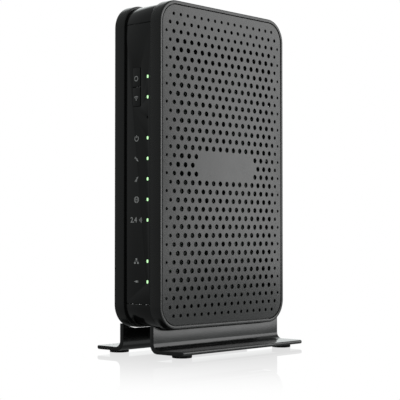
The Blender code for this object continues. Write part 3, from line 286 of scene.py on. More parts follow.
def soften(bm, width, segments=2, angle=40):
    """Rounds the sharp edges of a shape a little."""
    bmesh.ops.recalc_face_normals(bm, faces=bm.faces)
    bmesh.ops.remove_doubles(bm, verts=bm.verts, dist=SAME_PLACE)
    sharp = [
        edge
        for edge in bm.edges
        if len(edge.link_faces) == 2 and edge.calc_face_angle(0.0) > math.radians(angle)
    ]
    return bevelled(bm, sharp, width, segments)


def box_bm(low, high):
    bm = bmesh.new()
    add_box(bm, low, high)
    return bm


# ================ materials
class Nodes:
    """Short calls for building shader nodes, with places in metres."""

    def __init__(self, tree, place="Object"):
        self.tree = tree
        self.place = tree.nodes.new("ShaderNodeTexCoord").outputs[place]

    def node(self, kind, inputs=None, **settings):
        """A node with its settings, and inputs that are values or other nodes' outputs."""
        made = self.tree.nodes.new(kind)
        for key, value in settings.items():
            setattr(made, key, value)
        for key, value in (inputs or {}).items():
            if isinstance(value, bpy.types.NodeSocket):
                self.tree.links.new(value, made.inputs[key])
            else:
                made.inputs[key].default_value = value
        return made

    def noise(self, size, detail=3.0, roughness=0.55, place=None):
        """Noise whose features are about size metres across."""
        inputs = {"Scale": 1.0 / size, "Detail": detail, "Roughness": roughness}
        inputs["Vector"] = place or self.place
        return self.node("ShaderNodeTexNoise", inputs).outputs["Fac"]

    def ramp(self, fac, start, low, end, high):
        """Runs from one colour to another."""
        made = self.node("ShaderNodeValToRGB", {"Fac": fac})
        for element, at, colour in zip(made.color_ramp.elements, (start, end), (low, high)):
            element.position = at
            element.color = (*colour, 1.0)
        return made.outputs["Color"]

    def spread(self, fac, low, high, start=0.3, end=0.7, kind="LINEAR"):
        """Runs a number from one range to another, held at both ends."""
        inputs = {"Value": fac, "From Min": start, "From Max": end, "To Min": low, "To Max": high}
        return self.node("ShaderNodeMapRange", inputs, interpolation_type=kind).outputs["Result"]

    def ease(self, fac, ends, low, high):
        return self.spread(fac, low, high, *ends, kind="SMOOTHSTEP")

    def math(self, first, second, operation="ADD"):
        return self.node("ShaderNodeMath", {0: first, 1: second}, operation=operation).outputs["Value"]

    def bump(self, height, depth):
        inputs = {"Strength": 1.0, "Distance": depth, "Height": height}
        return self.node("ShaderNodeBump", inputs).outputs["Normal"]

    def towards(self, direction):
        """How nearly a direction in the world agrees with the one given: 1 where it is the same."""
        inputs = {0: self.place, 1: Vector(direction).normalized()}
        return self.node("ShaderNodeVectorMath", inputs, operation="DOT_PRODUCT").outputs["Value"]

    def mix(self, share, first, second):
        return self.node("ShaderNodeMixShader", {"Fac": share, 1: first, 2: second}).outputs["Shader"]


def node_material(name):
    material = bpy.data.materials.new(name)
    material.use_nodes = True
    return material, Nodes(material.node_tree)


def finished(material, colour, roughness, normal, **sockets):
    tree = material.node_tree
    shader = tree.nodes["Principled BSDF"]
    for socket, value in (("Base Color", colour), ("Roughness", roughness), ("Normal", normal)):
        tree.links.new(value, shader.inputs[socket])
    for socket, value in sockets.items():
        shader.inputs[socket.replace("_", " ")].default_value = value
    return material


def shade(colour, factor):
    return tuple(channel * factor for channel in colour)


def plastic(name, colour, roughness, grain, depth, spread=0.10, vary=0.12, specular=0.5):
    """Moulded plastic: a fine grain, slow changes of tone and gloss."""
    material, n = node_material(name)
    fine = n.noise(grain, 2.0)
    tone = n.ramp(n.noise(0.018, 4.0), 0.30, shade(colour, 1 - vary), 0.70, shade(colour, 1 + vary))
    patchy = n.spread(n.noise(0.009, 5.0), roughness - spread / 2, roughness + spread / 2)
    gloss = n.math(patchy, n.spread(fine, -spread / 3, spread / 3))
    return finished(material, tone, gloss, n.bump(fine, depth), Specular_IOR_Level=specular)


def metal(name, colour, roughness, stretch=(1.0, 1.0, 1.0), grain=0.0005, depth=0.00001):
    """Metal brushed one way, a little tarnished."""
    material, n = node_material(name)
    mapping = n.node("ShaderNodeMapping", {"Scale": stretch, "Vector": n.place})
    brushed = n.noise(grain, 3.0, 0.6, mapping.outputs["Vector"])
    tone = n.ramp(n.noise(0.004, 5.0), 0.30, shade(colour, 0.86), 0.65, colour)
    gloss = n.spread(brushed, roughness - 0.06, roughness + 0.08)
    return finished(material, tone, gloss, n.bump(brushed, depth), Metallic=1.0)


def solder_mask(name):
    """A circuit board: dark mask, faint copper runs under it and bright vias."""
    material, n = node_material(name)
    swap = n.node("ShaderNodeMapping", {"Rotation": (0.0, math.pi / 2, math.pi / 2), "Vector": n.place})
    inputs = {
        "Scale": 260.0,
        "Mortar Size": 0.10,
        "Mortar Smooth": 0.1,
        "Color1": (0.004, 0.016, 0.009, 1.0),
        "Color2": (0.004, 0.014, 0.008, 1.0),
        "Mortar": (0.007, 0.030, 0.015, 1.0),
        "Vector": swap.outputs["Vector"],
    }
    runs = n.node("ShaderNodeTexBrick", inputs, offset=0.37, squash=0.6)
    cells = n.node("ShaderNodeTexVoronoi", {"Scale": 1.0 / 0.0032, "Vector": n.place})
    vias = n.spread(cells.outputs["Distance"], 1.0, 0.0, 0.10, 0.12)
    inputs = {"Factor": vias, "A": runs.outputs["Color"], "B": (0.35, 0.33, 0.28, 1.0)}
    mix = n.node("ShaderNodeMix", inputs, data_type="RGBA")
    gloss = n.spread(n.noise(0.002), 0.30, 0.42)
    return finished(material, mix.outputs["Result"], gloss, n.bump(runs.outputs["Fac"], 0.00003))


def frosted(name, colour, grain, detail, dark, light_at, gloss, lit=False, **sockets):
    """A surface whose tone, gloss and relief all follow one fine grain; it may shine in its own tone."""
    material, n = node_material(name)
    frost = n.noise(grain, detail)
    tone = n.ramp(frost, 0.30, shade(colour, dark), light_at, colour)
    if lit:
        n.tree.links.new(tone, n.tree.nodes["Principled BSDF"].inputs["Emission Color"])
    return finished(material, tone, n.spread(frost, *gloss), n.bump(frost, 0.00001), **sockets)


def printed(name, colour):
    """Screen-printed ink, a little uneven."""
    return frosted(name, colour, 0.0004, 3.0, 0.82, 0.60, (0.45, 0.60))


def lit_lens(name, colour, strength):
    """A frosted lamp lens that glows in its own colour."""
    return frosted(name, colour, 0.0002, 2.0, 0.9, 0.70, (0.18, 0.30), True, Emission_Strength=strength)


def clear_plastic(name, colour):
    return frosted(name, colour, 0.0006, 3.0, 0.85, 0.70, (0.12, 0.22), Transmission_Weight=0.5)


COVER = plastic("cover_plastic", (0.0150, 0.0153, 0.0150), 0.27, 0.00032, 0.000012, 0.05, 0.05)
PANEL = plastic("panel_plastic", (0.0155, 0.0158, 0.0155), 0.25, 0.00032, 0.000012, 0.04, 0.05)
FASCIA = plastic("fascia_plastic", (0.0070, 0.0073, 0.0073), 0.14, 0.00045, 0.000003, 0.02, 0.04)
BUTTON = plastic("button_plastic", (0.0075, 0.0078, 0.0078), 0.18, 0.00040, 0.000004, 0.02, 0.04)
STAND = plastic("stand_plastic", (0.0085, 0.0088, 0.0088), 0.20, 0.00045, 0.000005, 0.03, 0.04)
RUBBER = plastic("foot_rubber", (0.014, 0.014, 0.014), 0.75, 0.00060, 0.00008, specular=0.3)
EPOXY = plastic("chip_epoxy", (0.016, 0.016, 0.018), 0.45, 0.00020, 0.00002)
SOCKET = plastic("socket_plastic", (0.018, 0.018, 0.019), 0.38, 0.00040, 0.00001)
WHITE = plastic("white_nylon", (0.72, 0.72, 0.68), 0.40, 0.00050, 0.00002, vary=0.05)
BOARD = solder_mask("solder_mask")
STEEL = metal("zinc_steel", (0.55, 0.56, 0.57), 0.30, (1.0, 6.0, 1.0))
SHELL = metal("tinned_shell", (0.60, 0.60, 0.60), 0.24, (8.0, 1.0, 1.0))
ALUMINIUM = metal("extruded_aluminium", (0.62, 0.63, 0.64), 0.34, (1.0, 1.0, 0.05))
NICKEL = metal("nickel_plate", (0.62, 0.60, 0.56), 0.20, (1.0, 1.0, 1.0), 0.0008)
GOLD = metal("gold_contact", (0.83, 0.60, 0.24), 0.22, (1.0, 0.1, 1.0))
INK = printed("white_ink", (0.80, 0.81, 0.80))
LAMP = lit_lens("lamp_lit", (0.55, 1.0, 0.50), 1.1)
LAN_GREEN = lit_lens("lan_green", (0.10, 0.32, 0.08), 0.0)
LAN_AMBER = lit_lens("lan_amber", (0.45, 0.22, 0.03), 0.0)
LENS = clear_plastic("light_guide_plastic", (0.55, 0.60, 0.52))


# ================ covers
def cover_profile():
    """Round the section of a cover, as (inset, x) points for the +X side."""
    outer = arc((EDGE_ROUND, HALF_WIDTH - EDGE_ROUND), EDGE_ROUND, 180, 90, 6)
    rim = arc((RIM_WIDTH - RIM_EDGE, HALF_WIDTH - RIM_EDGE), RIM_EDGE, 90, 0, 2)
    ledge_top = HALF_WIDTH - LEDGE_DEPTH
    inner = arc((LIP_ROUND, HALF_BAND + LIP_ROUND), LIP_ROUND, 270, 180, 3)
    return (
        outer
        + rim
        + [
            (RIM_WIDTH, ledge_top),
            (RIM_WIDTH + LEDGE_WIDTH, ledge_top),
            (RIM_WIDTH + LEDGE_WIDTH, ledge_top - LEDGE_THICK),
            (COVER_WALL, ledge_top - LEDGE_THICK),
            (COVER_WALL, HALF_BAND),
        ]
        + inner
    )


def make_cover(side, node):
    bm = ring_bm([(inset, side * x) for inset, x in cover_profile()])
    piece(f"{node}_shell", bm, [COVER], "modem", [node])


# ================ perforated panels
def bulge(y, z):
    """How far a panel stands out at a point measured from its middle."""
    across = 1 - (y / HALF_DEPTH) ** 2
    up = 1 - (z / HALF_HEIGHT) ** 2
    return PANEL_CROWN * max(across, 0.0) * max(up, 0.0)


def holes():
    """Each vent hole's middle and diameter, in Y and Z from the panel's middle."""
    found = []
    for row in range(-ROWS_EACH_WAY, ROWS_EACH_WAY + 1):
        odd = (row + ROWS_EACH_WAY) % 2
        from_end = ROWS_EACH_WAY - abs(row)
        first = 2 if from_end == 0 else odd
        for column in range(first, LAST_COLUMN - first + 1, 2):
            from_side = min(column, LAST_COLUMN - column)
            if abs(row) <= BLANK_ROWS and from_side > BLANK_COLUMNS[odd]:
                continue
            size = HOLE_SIZE
            if from_side < len(HOLE_SIZE_BY_COLUMN):
                size = min(size, HOLE_SIZE_BY_COLUMN[from_side])
            if from_end < len(HOLE_SIZE_BY_ROW):
                size = min(size, HOLE_SIZE_BY_ROW[from_end])
            y = (column - LAST_COLUMN / 2) * HOLE_PITCH / 2
            found.append((y, -row * ROW_PITCH, size))
    return found


def cell_corners(outline_inside):
    """The corners between neighbouring holes, and the middles of the plain field."""
    points = {}
    reach = HOLE_PITCH / math.sqrt(3)
    for row in range(-ROWS_EACH_WAY - 1, ROWS_EACH_WAY + 2):
        odd = (row + ROWS_EACH_WAY) % 2
        for column in range(odd, LAST_COLUMN + 1, 2):
            y = (column - LAST_COLUMN / 2) * HOLE_PITCH / 2
            z = -row * ROW_PITCH
            from_side = min(column, LAST_COLUMN - column)
            plain = abs(row) <= BLANK_ROWS and from_side > BLANK_COLUMNS[odd]
            spots = [(y, z)] if plain else []
            for corner in range(6):
                turn = math.radians(30 + 60 * corner)
                spots.append((y + reach * math.cos(turn), z + reach * math.sin(turn)))
            for spot in spots:
                if outline_inside(spot):
                    points[(round(spot[0], 5), round(spot[1], 5))] = spot
    return list(points.values())


def make_grille(side, node):
    """A thin crowned panel with real holes, each with a small chamfer."""
    width = BODY_DEPTH - 2 * (RIM_WIDTH + PANEL_GAP)
    height = BODY_HEIGHT - 2 * (RIM_WIDTH + PANEL_GAP)
    radius = CORNER_RADIUS - RIM_WIDTH - PANEL_GAP
    edge_x = PANEL_HIGH.x - PANEL_CROWN

    def inside(spot):
        y = abs(spot[0]) - (width / 2 - radius)
        z = abs(spot[1]) - (height / 2 - radius)
        return math.hypot(max(y, 0), max(z, 0)) < radius - HOLE_TO_EDGE

    outline = rounded_rectangle(width - 2 * PANEL_EDGE, height - 2 * PANEL_EDGE, radius - PANEL_EDGE, 16)
    long_side = []
    for (y0, z0), (y1, z1) in zip(outline, outline[1:] + outline[:1]):
        parts = max(1, round(math.hypot(y1 - y0, z1 - z0) / EDGE_PART))
        for part in range(parts):
            long_side.append((y0 + (y1 - y0) * part / parts, z0 + (z1 - z0) * part / parts))
    flat = [Vector(point) for point in long_side]
    loops = [list(range(len(flat)))]
    hole_of = {}
    found = holes()
    for number, (y, z, size) in enumerate(found):
        start = len(flat)
        for step in range(HOLE_STEPS):
            turn = 2 * math.pi * (step + 0.5) / HOLE_STEPS
            hole_of[len(flat)] = (number, turn)
            reach = size / 2 + HOLE_CHAMFER
            flat.append(Vector((y + reach * math.cos(turn), z + reach * math.sin(turn))))
        loops.append(list(range(start, start + HOLE_STEPS)))
    flat += [Vector(spot) for spot in cell_corners(inside)]
    points, _, faces, originals, _, came_from = geometry.delaunay_2d_cdt(flat, [], loops, 1, SAME_PLACE)

    bm = bmesh.new()
    front, back, lip = [], [], {}
    edge_ring = {}
    outline_count = len(long_side)
    for index, point in enumerate(points):
        y, z = point
        x = edge_x + bulge(y, z)
        source = originals[index]
        front.append(bm.verts.new((side * x, MIDDLE_Y + y, MIDDLE_Z + z)))
        hole = next((hole_of[o] for o in source if o in hole_of), None)
        if hole:
            hy, hz, size = found[hole[0]]
            ry = hy + size / 2 * math.cos(hole[1])
            rz = hz + size / 2 * math.sin(hole[1])
            lip[index] = bm.verts.new((side * (x - HOLE_CHAMFER), MIDDLE_Y + ry, MIDDLE_Z + rz))
            back.append(bm.verts.new((side * (x - PANEL_THICK), MIDDLE_Y + ry, MIDDLE_Z + rz)))
            continue
        if source and source[0] < outline_count:
            grown = 1 + PANEL_EDGE / (width / 2), 1 + PANEL_EDGE / (height / 2)
            edge_ring[index] = bm.verts.new(
                (side * (x - PANEL_EDGE), MIDDLE_Y + y * grown[0], MIDDLE_Z + z * grown[1])
            )
            y, z = y * grown[0], z * grown[1]
        back.append(bm.verts.new((side * (x - PANEL_THICK), MIDDLE_Y + y, MIDDLE_Z + z)))

    count = {}
    for face, sources in zip(faces, came_from):
        if any(s > 0 for s in sources):
            continue
        bm.faces.new([front[i] for i in face])
        bm.faces.new([back[i] for i in reversed(face)])
        for a, b in zip(face, face[1:] + face[:1]):
            key = (min(a, b), max(a, b))
            count[key] = count.get(key, 0) + 1
    for (a, b), uses in count.items():
        if uses != 1:
            continue
        middle = lip if a in lip else edge_ring
        bm.faces.new((front[a], front[b], middle[b], middle[a]))
        bm.faces.new((middle[a], middle[b], back[b], back[a]))
    add_backing(bm, side, edge_x)
    piece(f"{node}_grille", bm, [PANEL], "modem", [node], sharp=28.0)


def add_backing(bm, side, edge_x):
    """The rib and the shelf moulded behind the holes of the middle column and the upper rows."""
    half = HOLE_SIZE / 2
    column = HOLE_PITCH / 2
    lanes = (
        (-half, half, -13.0 * ROW_PITCH, 14.0 * ROW_PITCH),
        (-13.6 * column, 14.6 * column, 12.5 * ROW_PITCH, 15.0 * ROW_PITCH),
    )
    for y0, y1, z0, z1 in lanes:
        rows = 14
        columns = 2 if y1 - y0 < 0.005 else 14
        grid = []
        for i in range(columns + 1):
            line = []
            for j in range(rows + 1):
                y = y0 + (y1 - y0) * i / columns
                z = z0 + (z1 - z0) * j / rows
                x = edge_x + bulge(y, z) - BACKING_DEPTH
                line.append(
                    (
                        bm.verts.new((side * x, MIDDLE_Y + y, MIDDLE_Z + z)),
                        bm.verts.new((side * (x - BACKING_THICK), MIDDLE_Y + y, MIDDLE_Z + z)),
                    )
                )
            grid.append(line)
        for i in range(columns):
            for j in range(rows):
                for layer in (0, 1):
                    corners = (grid[i][j], grid[i + 1][j], grid[i + 1][j + 1], grid[i][j + 1])
                    bm.faces.new([corner[layer] for corner in corners])
        rim = [(i, 0) for i in range(columns)] + [(columns, j) for j in range(rows)]
        rim += [(i, rows) for i in range(columns, 0, -1)] + [(0, j) for j in range(rows, 0, -1)]
        for (i, j), (k, m) in zip(rim, rim[1:] + rim[:1]):
            bm.faces.new((grid[i][j][0], grid[k][m][0], grid[k][m][1], grid[i][j][1]))


# ================ middle band and fascia
def make_band():
    half = BAND_HIGH.x
    inner = BAND_INSET + BAND_THICK
    face = HALF_BAND - GAP
    right = [(BAND_STEP, face), (BAND_INSET, face), (BAND_INSET, half), (inner, half)]
    bm = ring_bm(right + [(inset, -x) for inset, x in reversed(right)])
    round_it = Vector((GAP, 0.0040, GAP))
    windows = [
        box_bm(low - round_it, high + round_it)
        for low, high in ((FASCIA_LOW, FASCIA_HIGH), (PLATE_LOW, PLATE_HIGH))
    ]
    bm = soften(carved(bm, windows), 0.00025)
    piece("middle_band", bm, [FASCIA], "modem", ["mid_frame"])


def lamp_z(row):
    return LAMP_TOP_Z - row * LAMP_PITCH


def make_fascia():
    bm = box_bm(FASCIA_LOW, FASCIA_HIGH)
    cutters = bmesh.new()
    through = (-FASCIA_HIGH.y - THROUGH, -FASCIA_LOW.y + THROUGH)
    across, up = [size / 2 + LAMP_CLEARANCE for size in LAMP_SIZE]
    for row in LAMP_ROWS:
        outline = rounded_rectangle(2 * across, 2 * up, across * 0.98, 6)
        join(cutters, prism(outline, *through), along_y(LAMP_X, 0.0, lamp_z(row), -1))
    place = along_y(LAMP_X, 0.0, lamp_z(SENSOR_ROW), -1)
    join(cutters, prism(arc((0, 0), SENSOR_RADIUS, 0, 345, 23), *through), place)
    upper_low, upper_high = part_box("wps_button")
    lower_low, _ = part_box("wifi_button")
    half = BUTTON_HALF + GAP * 0.8
    middle = (upper_low.x + upper_high.x) / 2
    up = (upper_high.z - lower_low.z) / 2 + GAP * 0.2
    centre = (upper_high.z + lower_low.z) / 2
    outline = rounded_rectangle(2 * half, 2 * up, 0.0006, 4)
    join(cutters, prism(outline, *through), along_y(middle, 0.0, centre, -1))
    bm = soften(carved(bm, [cutters]), 0.00018)
    piece("fascia_face", bm, [FASCIA], "modem", ["front_fascia"])


def make_light_guide():
    """The clear moulding behind the lamp holes, with a lit tip in each."""
    bm = bmesh.new()
    bar_low = (GUIDE_LOW.x, GUIDE_HIGH.y - 0.0024, GUIDE_LOW.z)
    add_round_box(bm, bar_low, (GUIDE_HIGH.x, GUIDE_HIGH.y - 0.0008, GUIDE_HIGH.z), 0.0003)
    outline = rounded_rectangle(*LAMP_SIZE, LAMP_SIZE[0] * 0.49, 6)
    for row in LAMP_ROWS:
        place = along_y(LAMP_X, 0.0, lamp_z(row), -1)
        join(bm, prism(outline, -GUIDE_HIGH.y, -GUIDE_LOW.y - LAMP_TIP), place)
        tip = soften(prism(outline, -GUIDE_LOW.y - LAMP_TIP, -GUIDE_LOW.y + 0.00005), 0.0002, 3, 60)
        join(bm, painted(tip, 1), place)
    piece("lamp_lenses", bm, [LENS, LAMP], "modem", ["light_guide"])


# ================ printed marks
def stroke(bm, points, width, closed=False):
    """A flat line of the given width through the points, in X and Z."""
    count = len(points)
    sides = []
    for i, (x, z) in enumerate(points):
        before = points[i - 1] if i > 0 or closed else points[i]
        after = points[(i + 1) % count] if i < count - 1 or closed else points[i]
        along = Vector((after[0] - before[0], after[1] - before[1])).normalized()
        across = Vector((-along.y, along.x)) * width / 2
        sides.append(
            (
                bm.verts.new((x + across.x, 0.0, z + across.y)),
                bm.verts.new((x - across.x, 0.0, z - across.y)),
            )
        )
    pairs = list(zip(sides, sides[1:])) + ([(sides[-1], sides[0])] if closed else [])
    for (a, b), (c, d) in pairs:
        bm.faces.new((a, b, d, c))


def filled(bm, points):
    bm.faces.new([bm.verts.new((x, 0.0, z)) for x, z in points])


def arrow(bm, tip, direction, size):
    """A solid arrow head."""
    turn = math.radians(direction)
    points = []
    for angle in (0, 140, 220):
        spin = turn + math.radians(angle)
        points.append((tip[0] + size * math.cos(spin), tip[1] + size * math.sin(spin)))
    filled(bm, points)


def block(bm, left, low, right, high):
    filled(bm, [(left, low), (right, low), (right, high), (left, high)])


LINE = 0.00046


def mark_power(bm):
    stroke(bm, arc((0, 0), 0.00155, 125, 415, 22), LINE)
    stroke(bm, [(0, 0.0004), (0, 0.0020)], LINE)


def mark_down(bm):
    """A line running down to an arrow head, with a shorter one beside it."""
    stroke(bm, [(-0.0014, 0.0013), (0.0005, -0.0006)], LINE * 1.2)
    arrow(bm, (0.0008, -0.0009), -45, 0.0011)
    stroke(bm, [(-0.0016, 0.0003), (-0.0006, 0.0013)], LINE)


def mark_up(bm):
    stroke(bm, [(-0.0014, -0.0014), (0.0006, 0.0006)], LINE * 1.2)
    arrow(bm, (0.0008, 0.0009), 45, 0.0011)
    stroke(bm, [(-0.0004, -0.0014), (0.0004, -0.0006)], LINE)


def mark_globe(bm):
    stroke(bm, arc((0, 0), 0.0018, 0, 345, 23), LINE * 0.9, closed=True)
    stroke(bm, [(-0.0017, 0), (0.0017, 0)], LINE * 0.7)
    turns = [i * math.pi / 10 for i in range(20)]
    stroke(bm, [(0.0008 * math.cos(t), 0.0017 * math.sin(t)) for t in turns], LINE * 0.7, True)


def mark_boxes(bm):
    """Three linked boxes."""
    for x, z in ((0.0, 0.0011), (-0.0013, -0.0012), (0.0013, -0.0012)):
        block(bm, x - 0.0007, z - 0.0005, x + 0.0007, z + 0.0005)
    stroke(bm, [(0, 0.0007), (0, 0)], LINE * 0.6)
    stroke(bm, [(-0.0013, -0.0008), (-0.0013, 0), (0.0013, 0), (0.0013, -0.0008)], LINE * 0.6)


def mark_plug(bm):
    """A flat plug with its lead."""
    block(bm, -0.0006, -0.0006, 0.0009, 0.0006)
    stroke(bm, [(0.0009, 0.0003), (0.0017, 0.0003)], LINE * 0.6)
    stroke(bm, [(0.0009, -0.0003), (0.0017, -0.0003)], LINE * 0.6)
    stroke(bm, [(-0.0006, 0.0), (-0.0018, 0.0)], LINE * 0.8)


def mark_waves(bm):
    """Radio waves above a dot."""
    filled(bm, arc((0, -0.0010), 0.00042, 0, 330, 11))
    stroke(bm, arc((0, -0.0010), 0.0012, 40, 140, 10), LINE * 0.8)
    stroke(bm, arc((0, -0.0010), 0.0021, 42, 138, 12), LINE * 0.8)


def mark_loop(bm):
    """Two arrows that chase each other."""
    stroke(bm, arc((0, 0), 0.0014, 20, 160, 12), LINE * 0.9)
    stroke(bm, arc((0, 0), 0.0014, 200, 340, 12), LINE * 0.9)
    arrow(bm, (-0.0014, 0.0002), 250, 0.0007)
    arrow(bm, (0.0014, -0.0002), 70, 0.0007)


def numerals(text, size):
    """Plain numerals as a flat bmesh in X and Z, centred."""
    curve = bpy.data.curves.new("numerals", "FONT")
    curve.body = text
    curve.size = size
    curve.align_x = "CENTER"
    curve.align_y = "CENTER"
    curve.offset = 0.00006
    obj = linked("numerals", curve)
    graph = bpy.context.evaluated_depsgraph_get()
    mesh = bpy.data.meshes.new_from_object(obj.evaluated_get(graph))
    bpy.data.objects.remove(obj, do_unlink=True)
    bm = bmesh.new()
    bm.from_mesh(mesh)
    bpy.data.meshes.remove(mesh)
    return placed(bm, Matrix.Rotation(math.pi / 2, 4, "X"))


def thicken(bm):
    """Gives flat marks the thickness of ink, standing out towards -Y."""
    bmesh.ops.recalc_face_normals(bm, faces=bm.faces)
    bmesh.ops.reverse_faces(bm, faces=[face for face in bm.faces if face.normal.y > 0])
    made = bmesh.ops.extrude_face_region(bm, geom=bm.faces[:])
    moved = [item for item in made["geom"] if isinstance(item, bmesh.types.BMVert)]
    bmesh.ops.translate(bm, vec=(0.0, -MARK_LIFT, 0.0), verts=moved)
    return bm


def make_marks():
    bm = bmesh.new()
    for row, draw in (
        (3, mark_power),
        (4, mark_down),
        (5, mark_up),
        (6, mark_globe),
        (9, mark_boxes),
        (10, mark_plug),
    ):
        part = bmesh.new()
        draw(part)
        join(bm, part, Matrix.Translation((MARK_X, FASCIA_LOW.y, lamp_z(row))))
    z = lamp_z(7)
    join(bm, numerals("2.4", 0.0046), Matrix.Translation((MARK_X - 0.0024, FASCIA_LOW.y, z)))
    for reach in (0.0009, 0.0018, 0.0027):
        part = bmesh.new()
        stroke(part, arc((0, 0), reach, -38, 38, 8), LINE * 0.8)
        join(bm, part, Matrix.Translation((MARK_X + 0.0018, FASCIA_LOW.y, z)))
    piece("front_marks", thicken(bm), [INK], "modem")


# ================ front buttons
def make_button(node, draw):
    """A front button, on the body of the same name."""
    low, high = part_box(node)
    x, _, z = middle_of(low, high)
    lip_y = FASCIA_HIGH.y + 0.0003
    lip_end = lip_y + 0.0008
    bm = bmesh.new()
    add_round_box(bm, (x - BUTTON_HALF, low.y, low.z), (x + BUTTON_HALF, lip_end, high.z), 0.0004, 3)
    add_round_box(bm, (low.x, lip_y, low.z + 0.0006), (high.x, lip_end, high.z - 0.0006), 0.0002)
    long = high.y - lip_y - 0.0008
    join(bm, turned([(0, 0), (0.0012, 0), (0.0012, long), (0, long)], 20), along_y(x, lip_end, z))
    piece(f"{node}_cap", bm, [BUTTON], node, [node])
    mark = bmesh.new()
    draw(mark)
    placed(mark, Matrix.Translation((x, low.y, z - 0.0008)))
    piece(f"{node}_mark", thicken(mark), [INK], node)


# ================ stand
FLANGE_THICK = 0.0023
FLANGE_CORNER = 0.0030
WALL_INSET = 0.0053
WALL_THICK = 0.0029
FLARE_INSIDE = 0.0040
FLARE_OUTSIDE = 0.0058
HORN_RADIUS = 0.0330
BRIDGE_THICK = 0.0030
BRIDGE_HALF = 0.0330


def make_stand():
    """The folded stand: two walls that flare into flanges, with a bridge between them."""
    middle_y = (STAND_LOW.y + STAND_HIGH.y) / 2
    half_length = (STAND_HIGH.y - STAND_LOW.y) / 2
    flange_out = STAND_HIGH.x
    flange_under = STAND_LOW.z
    flange_top = flange_under + FLANGE_THICK
    wall_out = HALF_WIDTH - WALL_INSET
    wall_in = wall_out - WALL_THICK
    wall_top = COVER_LOW.z - GAP
    horn_start = HALF_DEPTH - CORNER_RADIUS

    def rise(y):
        past = max(abs(y) - horn_start, 0.0)
        return HORN_RADIUS - math.sqrt(HORN_RADIUS ** 2 - past ** 2)

    def tip_back(y):
        past = max(abs(y) - (half_length - FLANGE_CORNER), 0.0)
        return FLANGE_CORNER - math.sqrt(max(FLANGE_CORNER ** 2 - past ** 2, 0.0))

    def section(y):
        out = flange_out - tip_back(y)
        top = wall_top + rise(y)
        round_tip = FLANGE_THICK * 0.42
        under = arc((wall_in + FLARE_OUTSIDE, flange_under + FLARE_OUTSIDE), FLARE_OUTSIDE, 180, 270, 14)
        tip = arc((out - round_tip, flange_under + round_tip), round_tip, 270, 360, 4)
        tip += arc((out - round_tip, flange_top - round_tip), round_tip, 0, 90, 4)
        over = arc((wall_out + FLARE_INSIDE, flange_top + FLARE_INSIDE), FLARE_INSIDE, 270, 180, 14)
        edge = 0.0004
        over += arc((wall_out - edge, top - edge), edge, 0, 90, 3)
        over += arc((wall_in + edge, top - edge), edge, 90, 180, 3)
        return under + tip + over

    slices = [half_length * k / 12 for k in range(9)]
    slices += [half_length - FLANGE_CORNER * (1 - math.sin(math.radians(a))) for a in range(0, 91, 10)]
    slices += [horn_start + (half_length - horn_start) * k / 8 for k in range(9)]
    slices = sorted({round(s, 6) for s in slices if s <= half_length})
    slices = [-s for s in reversed(slices) if s > 0] + slices
    bm = bmesh.new()
    for side in (-1, 1):
        rings = [[bm.verts.new((side * x, middle_y + y, z)) for x, z in section(y)] for y in slices]
        skin(bm, rings)
        bm.faces.new(rings[0])
        bm.faces.new(list(reversed(rings[-1])))
    bmesh.ops.recalc_face_normals(bm, faces=bm.faces)
    ends = [
        edge
        for edge in bm.edges
        if len(edge.link_faces) == 2 and any(len(face.verts) > 4 for face in edge.link_faces)
    ]
    bevelled(bm, ends, 0.00035, 2)
    bridge_low = (-wall_in - 0.0010, middle_y - BRIDGE_HALF, wall_top - BRIDGE_THICK)
    add_box(bm, bridge_low, (wall_in + 0.0010, middle_y + BRIDGE_HALF, wall_top - 0.0001))
    tongue_low = (-HALF_BAND + GAP, middle_y - BRIDGE_HALF + GAP, wall_top - 0.0010)
    tongue_high = (HALF_BAND - GAP, middle_y + BRIDGE_HALF - GAP, COVER_LOW.z + BAND_STEP - GAP)
    add_round_box(bm, tongue_low, tongue_high, 0.0003)
    for y in (-0.0280, 0.0280):
        low = (-0.0030, middle_y + y - 0.0040, tongue_high[2] - 0.0010)
        add_round_box(bm, low, (0.0030, middle_y + y + 0.0040, STAND_HIGH.z), 0.0004)
    piece("stand_moulding", bm, [STAND], "stand", ["stand"], sharp=38.0)


def make_foot(node):
    low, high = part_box(node)
    x, y, _ = middle_of(low, high)
    centre = Matrix.Translation((x, y, low.z))
    radius = (high.x - low.x) / 2
    tall = high.z - low.z
    edge = 0.0004
    dish = radius * 0.62
    profile = [(0, tall), (radius - 0.0002, tall), (radius, tall - 0.0002)]
    profile += arc((radius - edge, edge), edge, 0, -90, 4)
    profile += [(dish + 0.0003, 0.0), (dish, 0.0002), (0, 0.0002)]
    piece(f"{node}_pad", turned(profile, 48, centre), [RUBBER], "stand", [node])


# ================ rear ports
COAX_RADIUS = 0.00475
COAX_BORE = 0.0031
COAX_THREAD = 0.00079             # pitch
COAX_THREAD_DEPTH = 0.00042
POWER_RADIUS = 0.0038
HOLE_TURNS = (352.5, 47)          # degrees round a hole's outline, and the steps over them


def make_port_plate():
    bm = box_bm(PLATE_LOW, PLATE_HIGH)
    everything = bmesh.new()
    grow = GAP * 0.7
    for node in ("dc_jack", "lan_jack_1", "lan_jack_2", "usb_port"):
        low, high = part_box(node)
        cut_low = (low.x - grow, PLATE_LOW.y - 0.002, low.z - grow)
        join(everything, box_bm(cut_low, (high.x + grow, PLATE_HIGH.y + 0.002, high.z + grow)))
    for node, radius in (
        ("coax_nut", COAX_RADIUS + GAP),
        ("power_button", POWER_RADIUS + GAP),
        ("reset_button", 0.0010),
    ):
        low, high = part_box(node)
        x, _, z = middle_of(low, high)
        place = along_y(x, 0.0, z, -1)
        join(everything, pin(radius, HOLE_TURNS, -PLATE_HIGH.y - 0.002, -PLATE_LOW.y + 0.002, place))
    bm = soften(carved(bm, [everything]), 0.00018)
    piece("rear_plate", bm, [FASCIA], "modem", ["port_plate"])


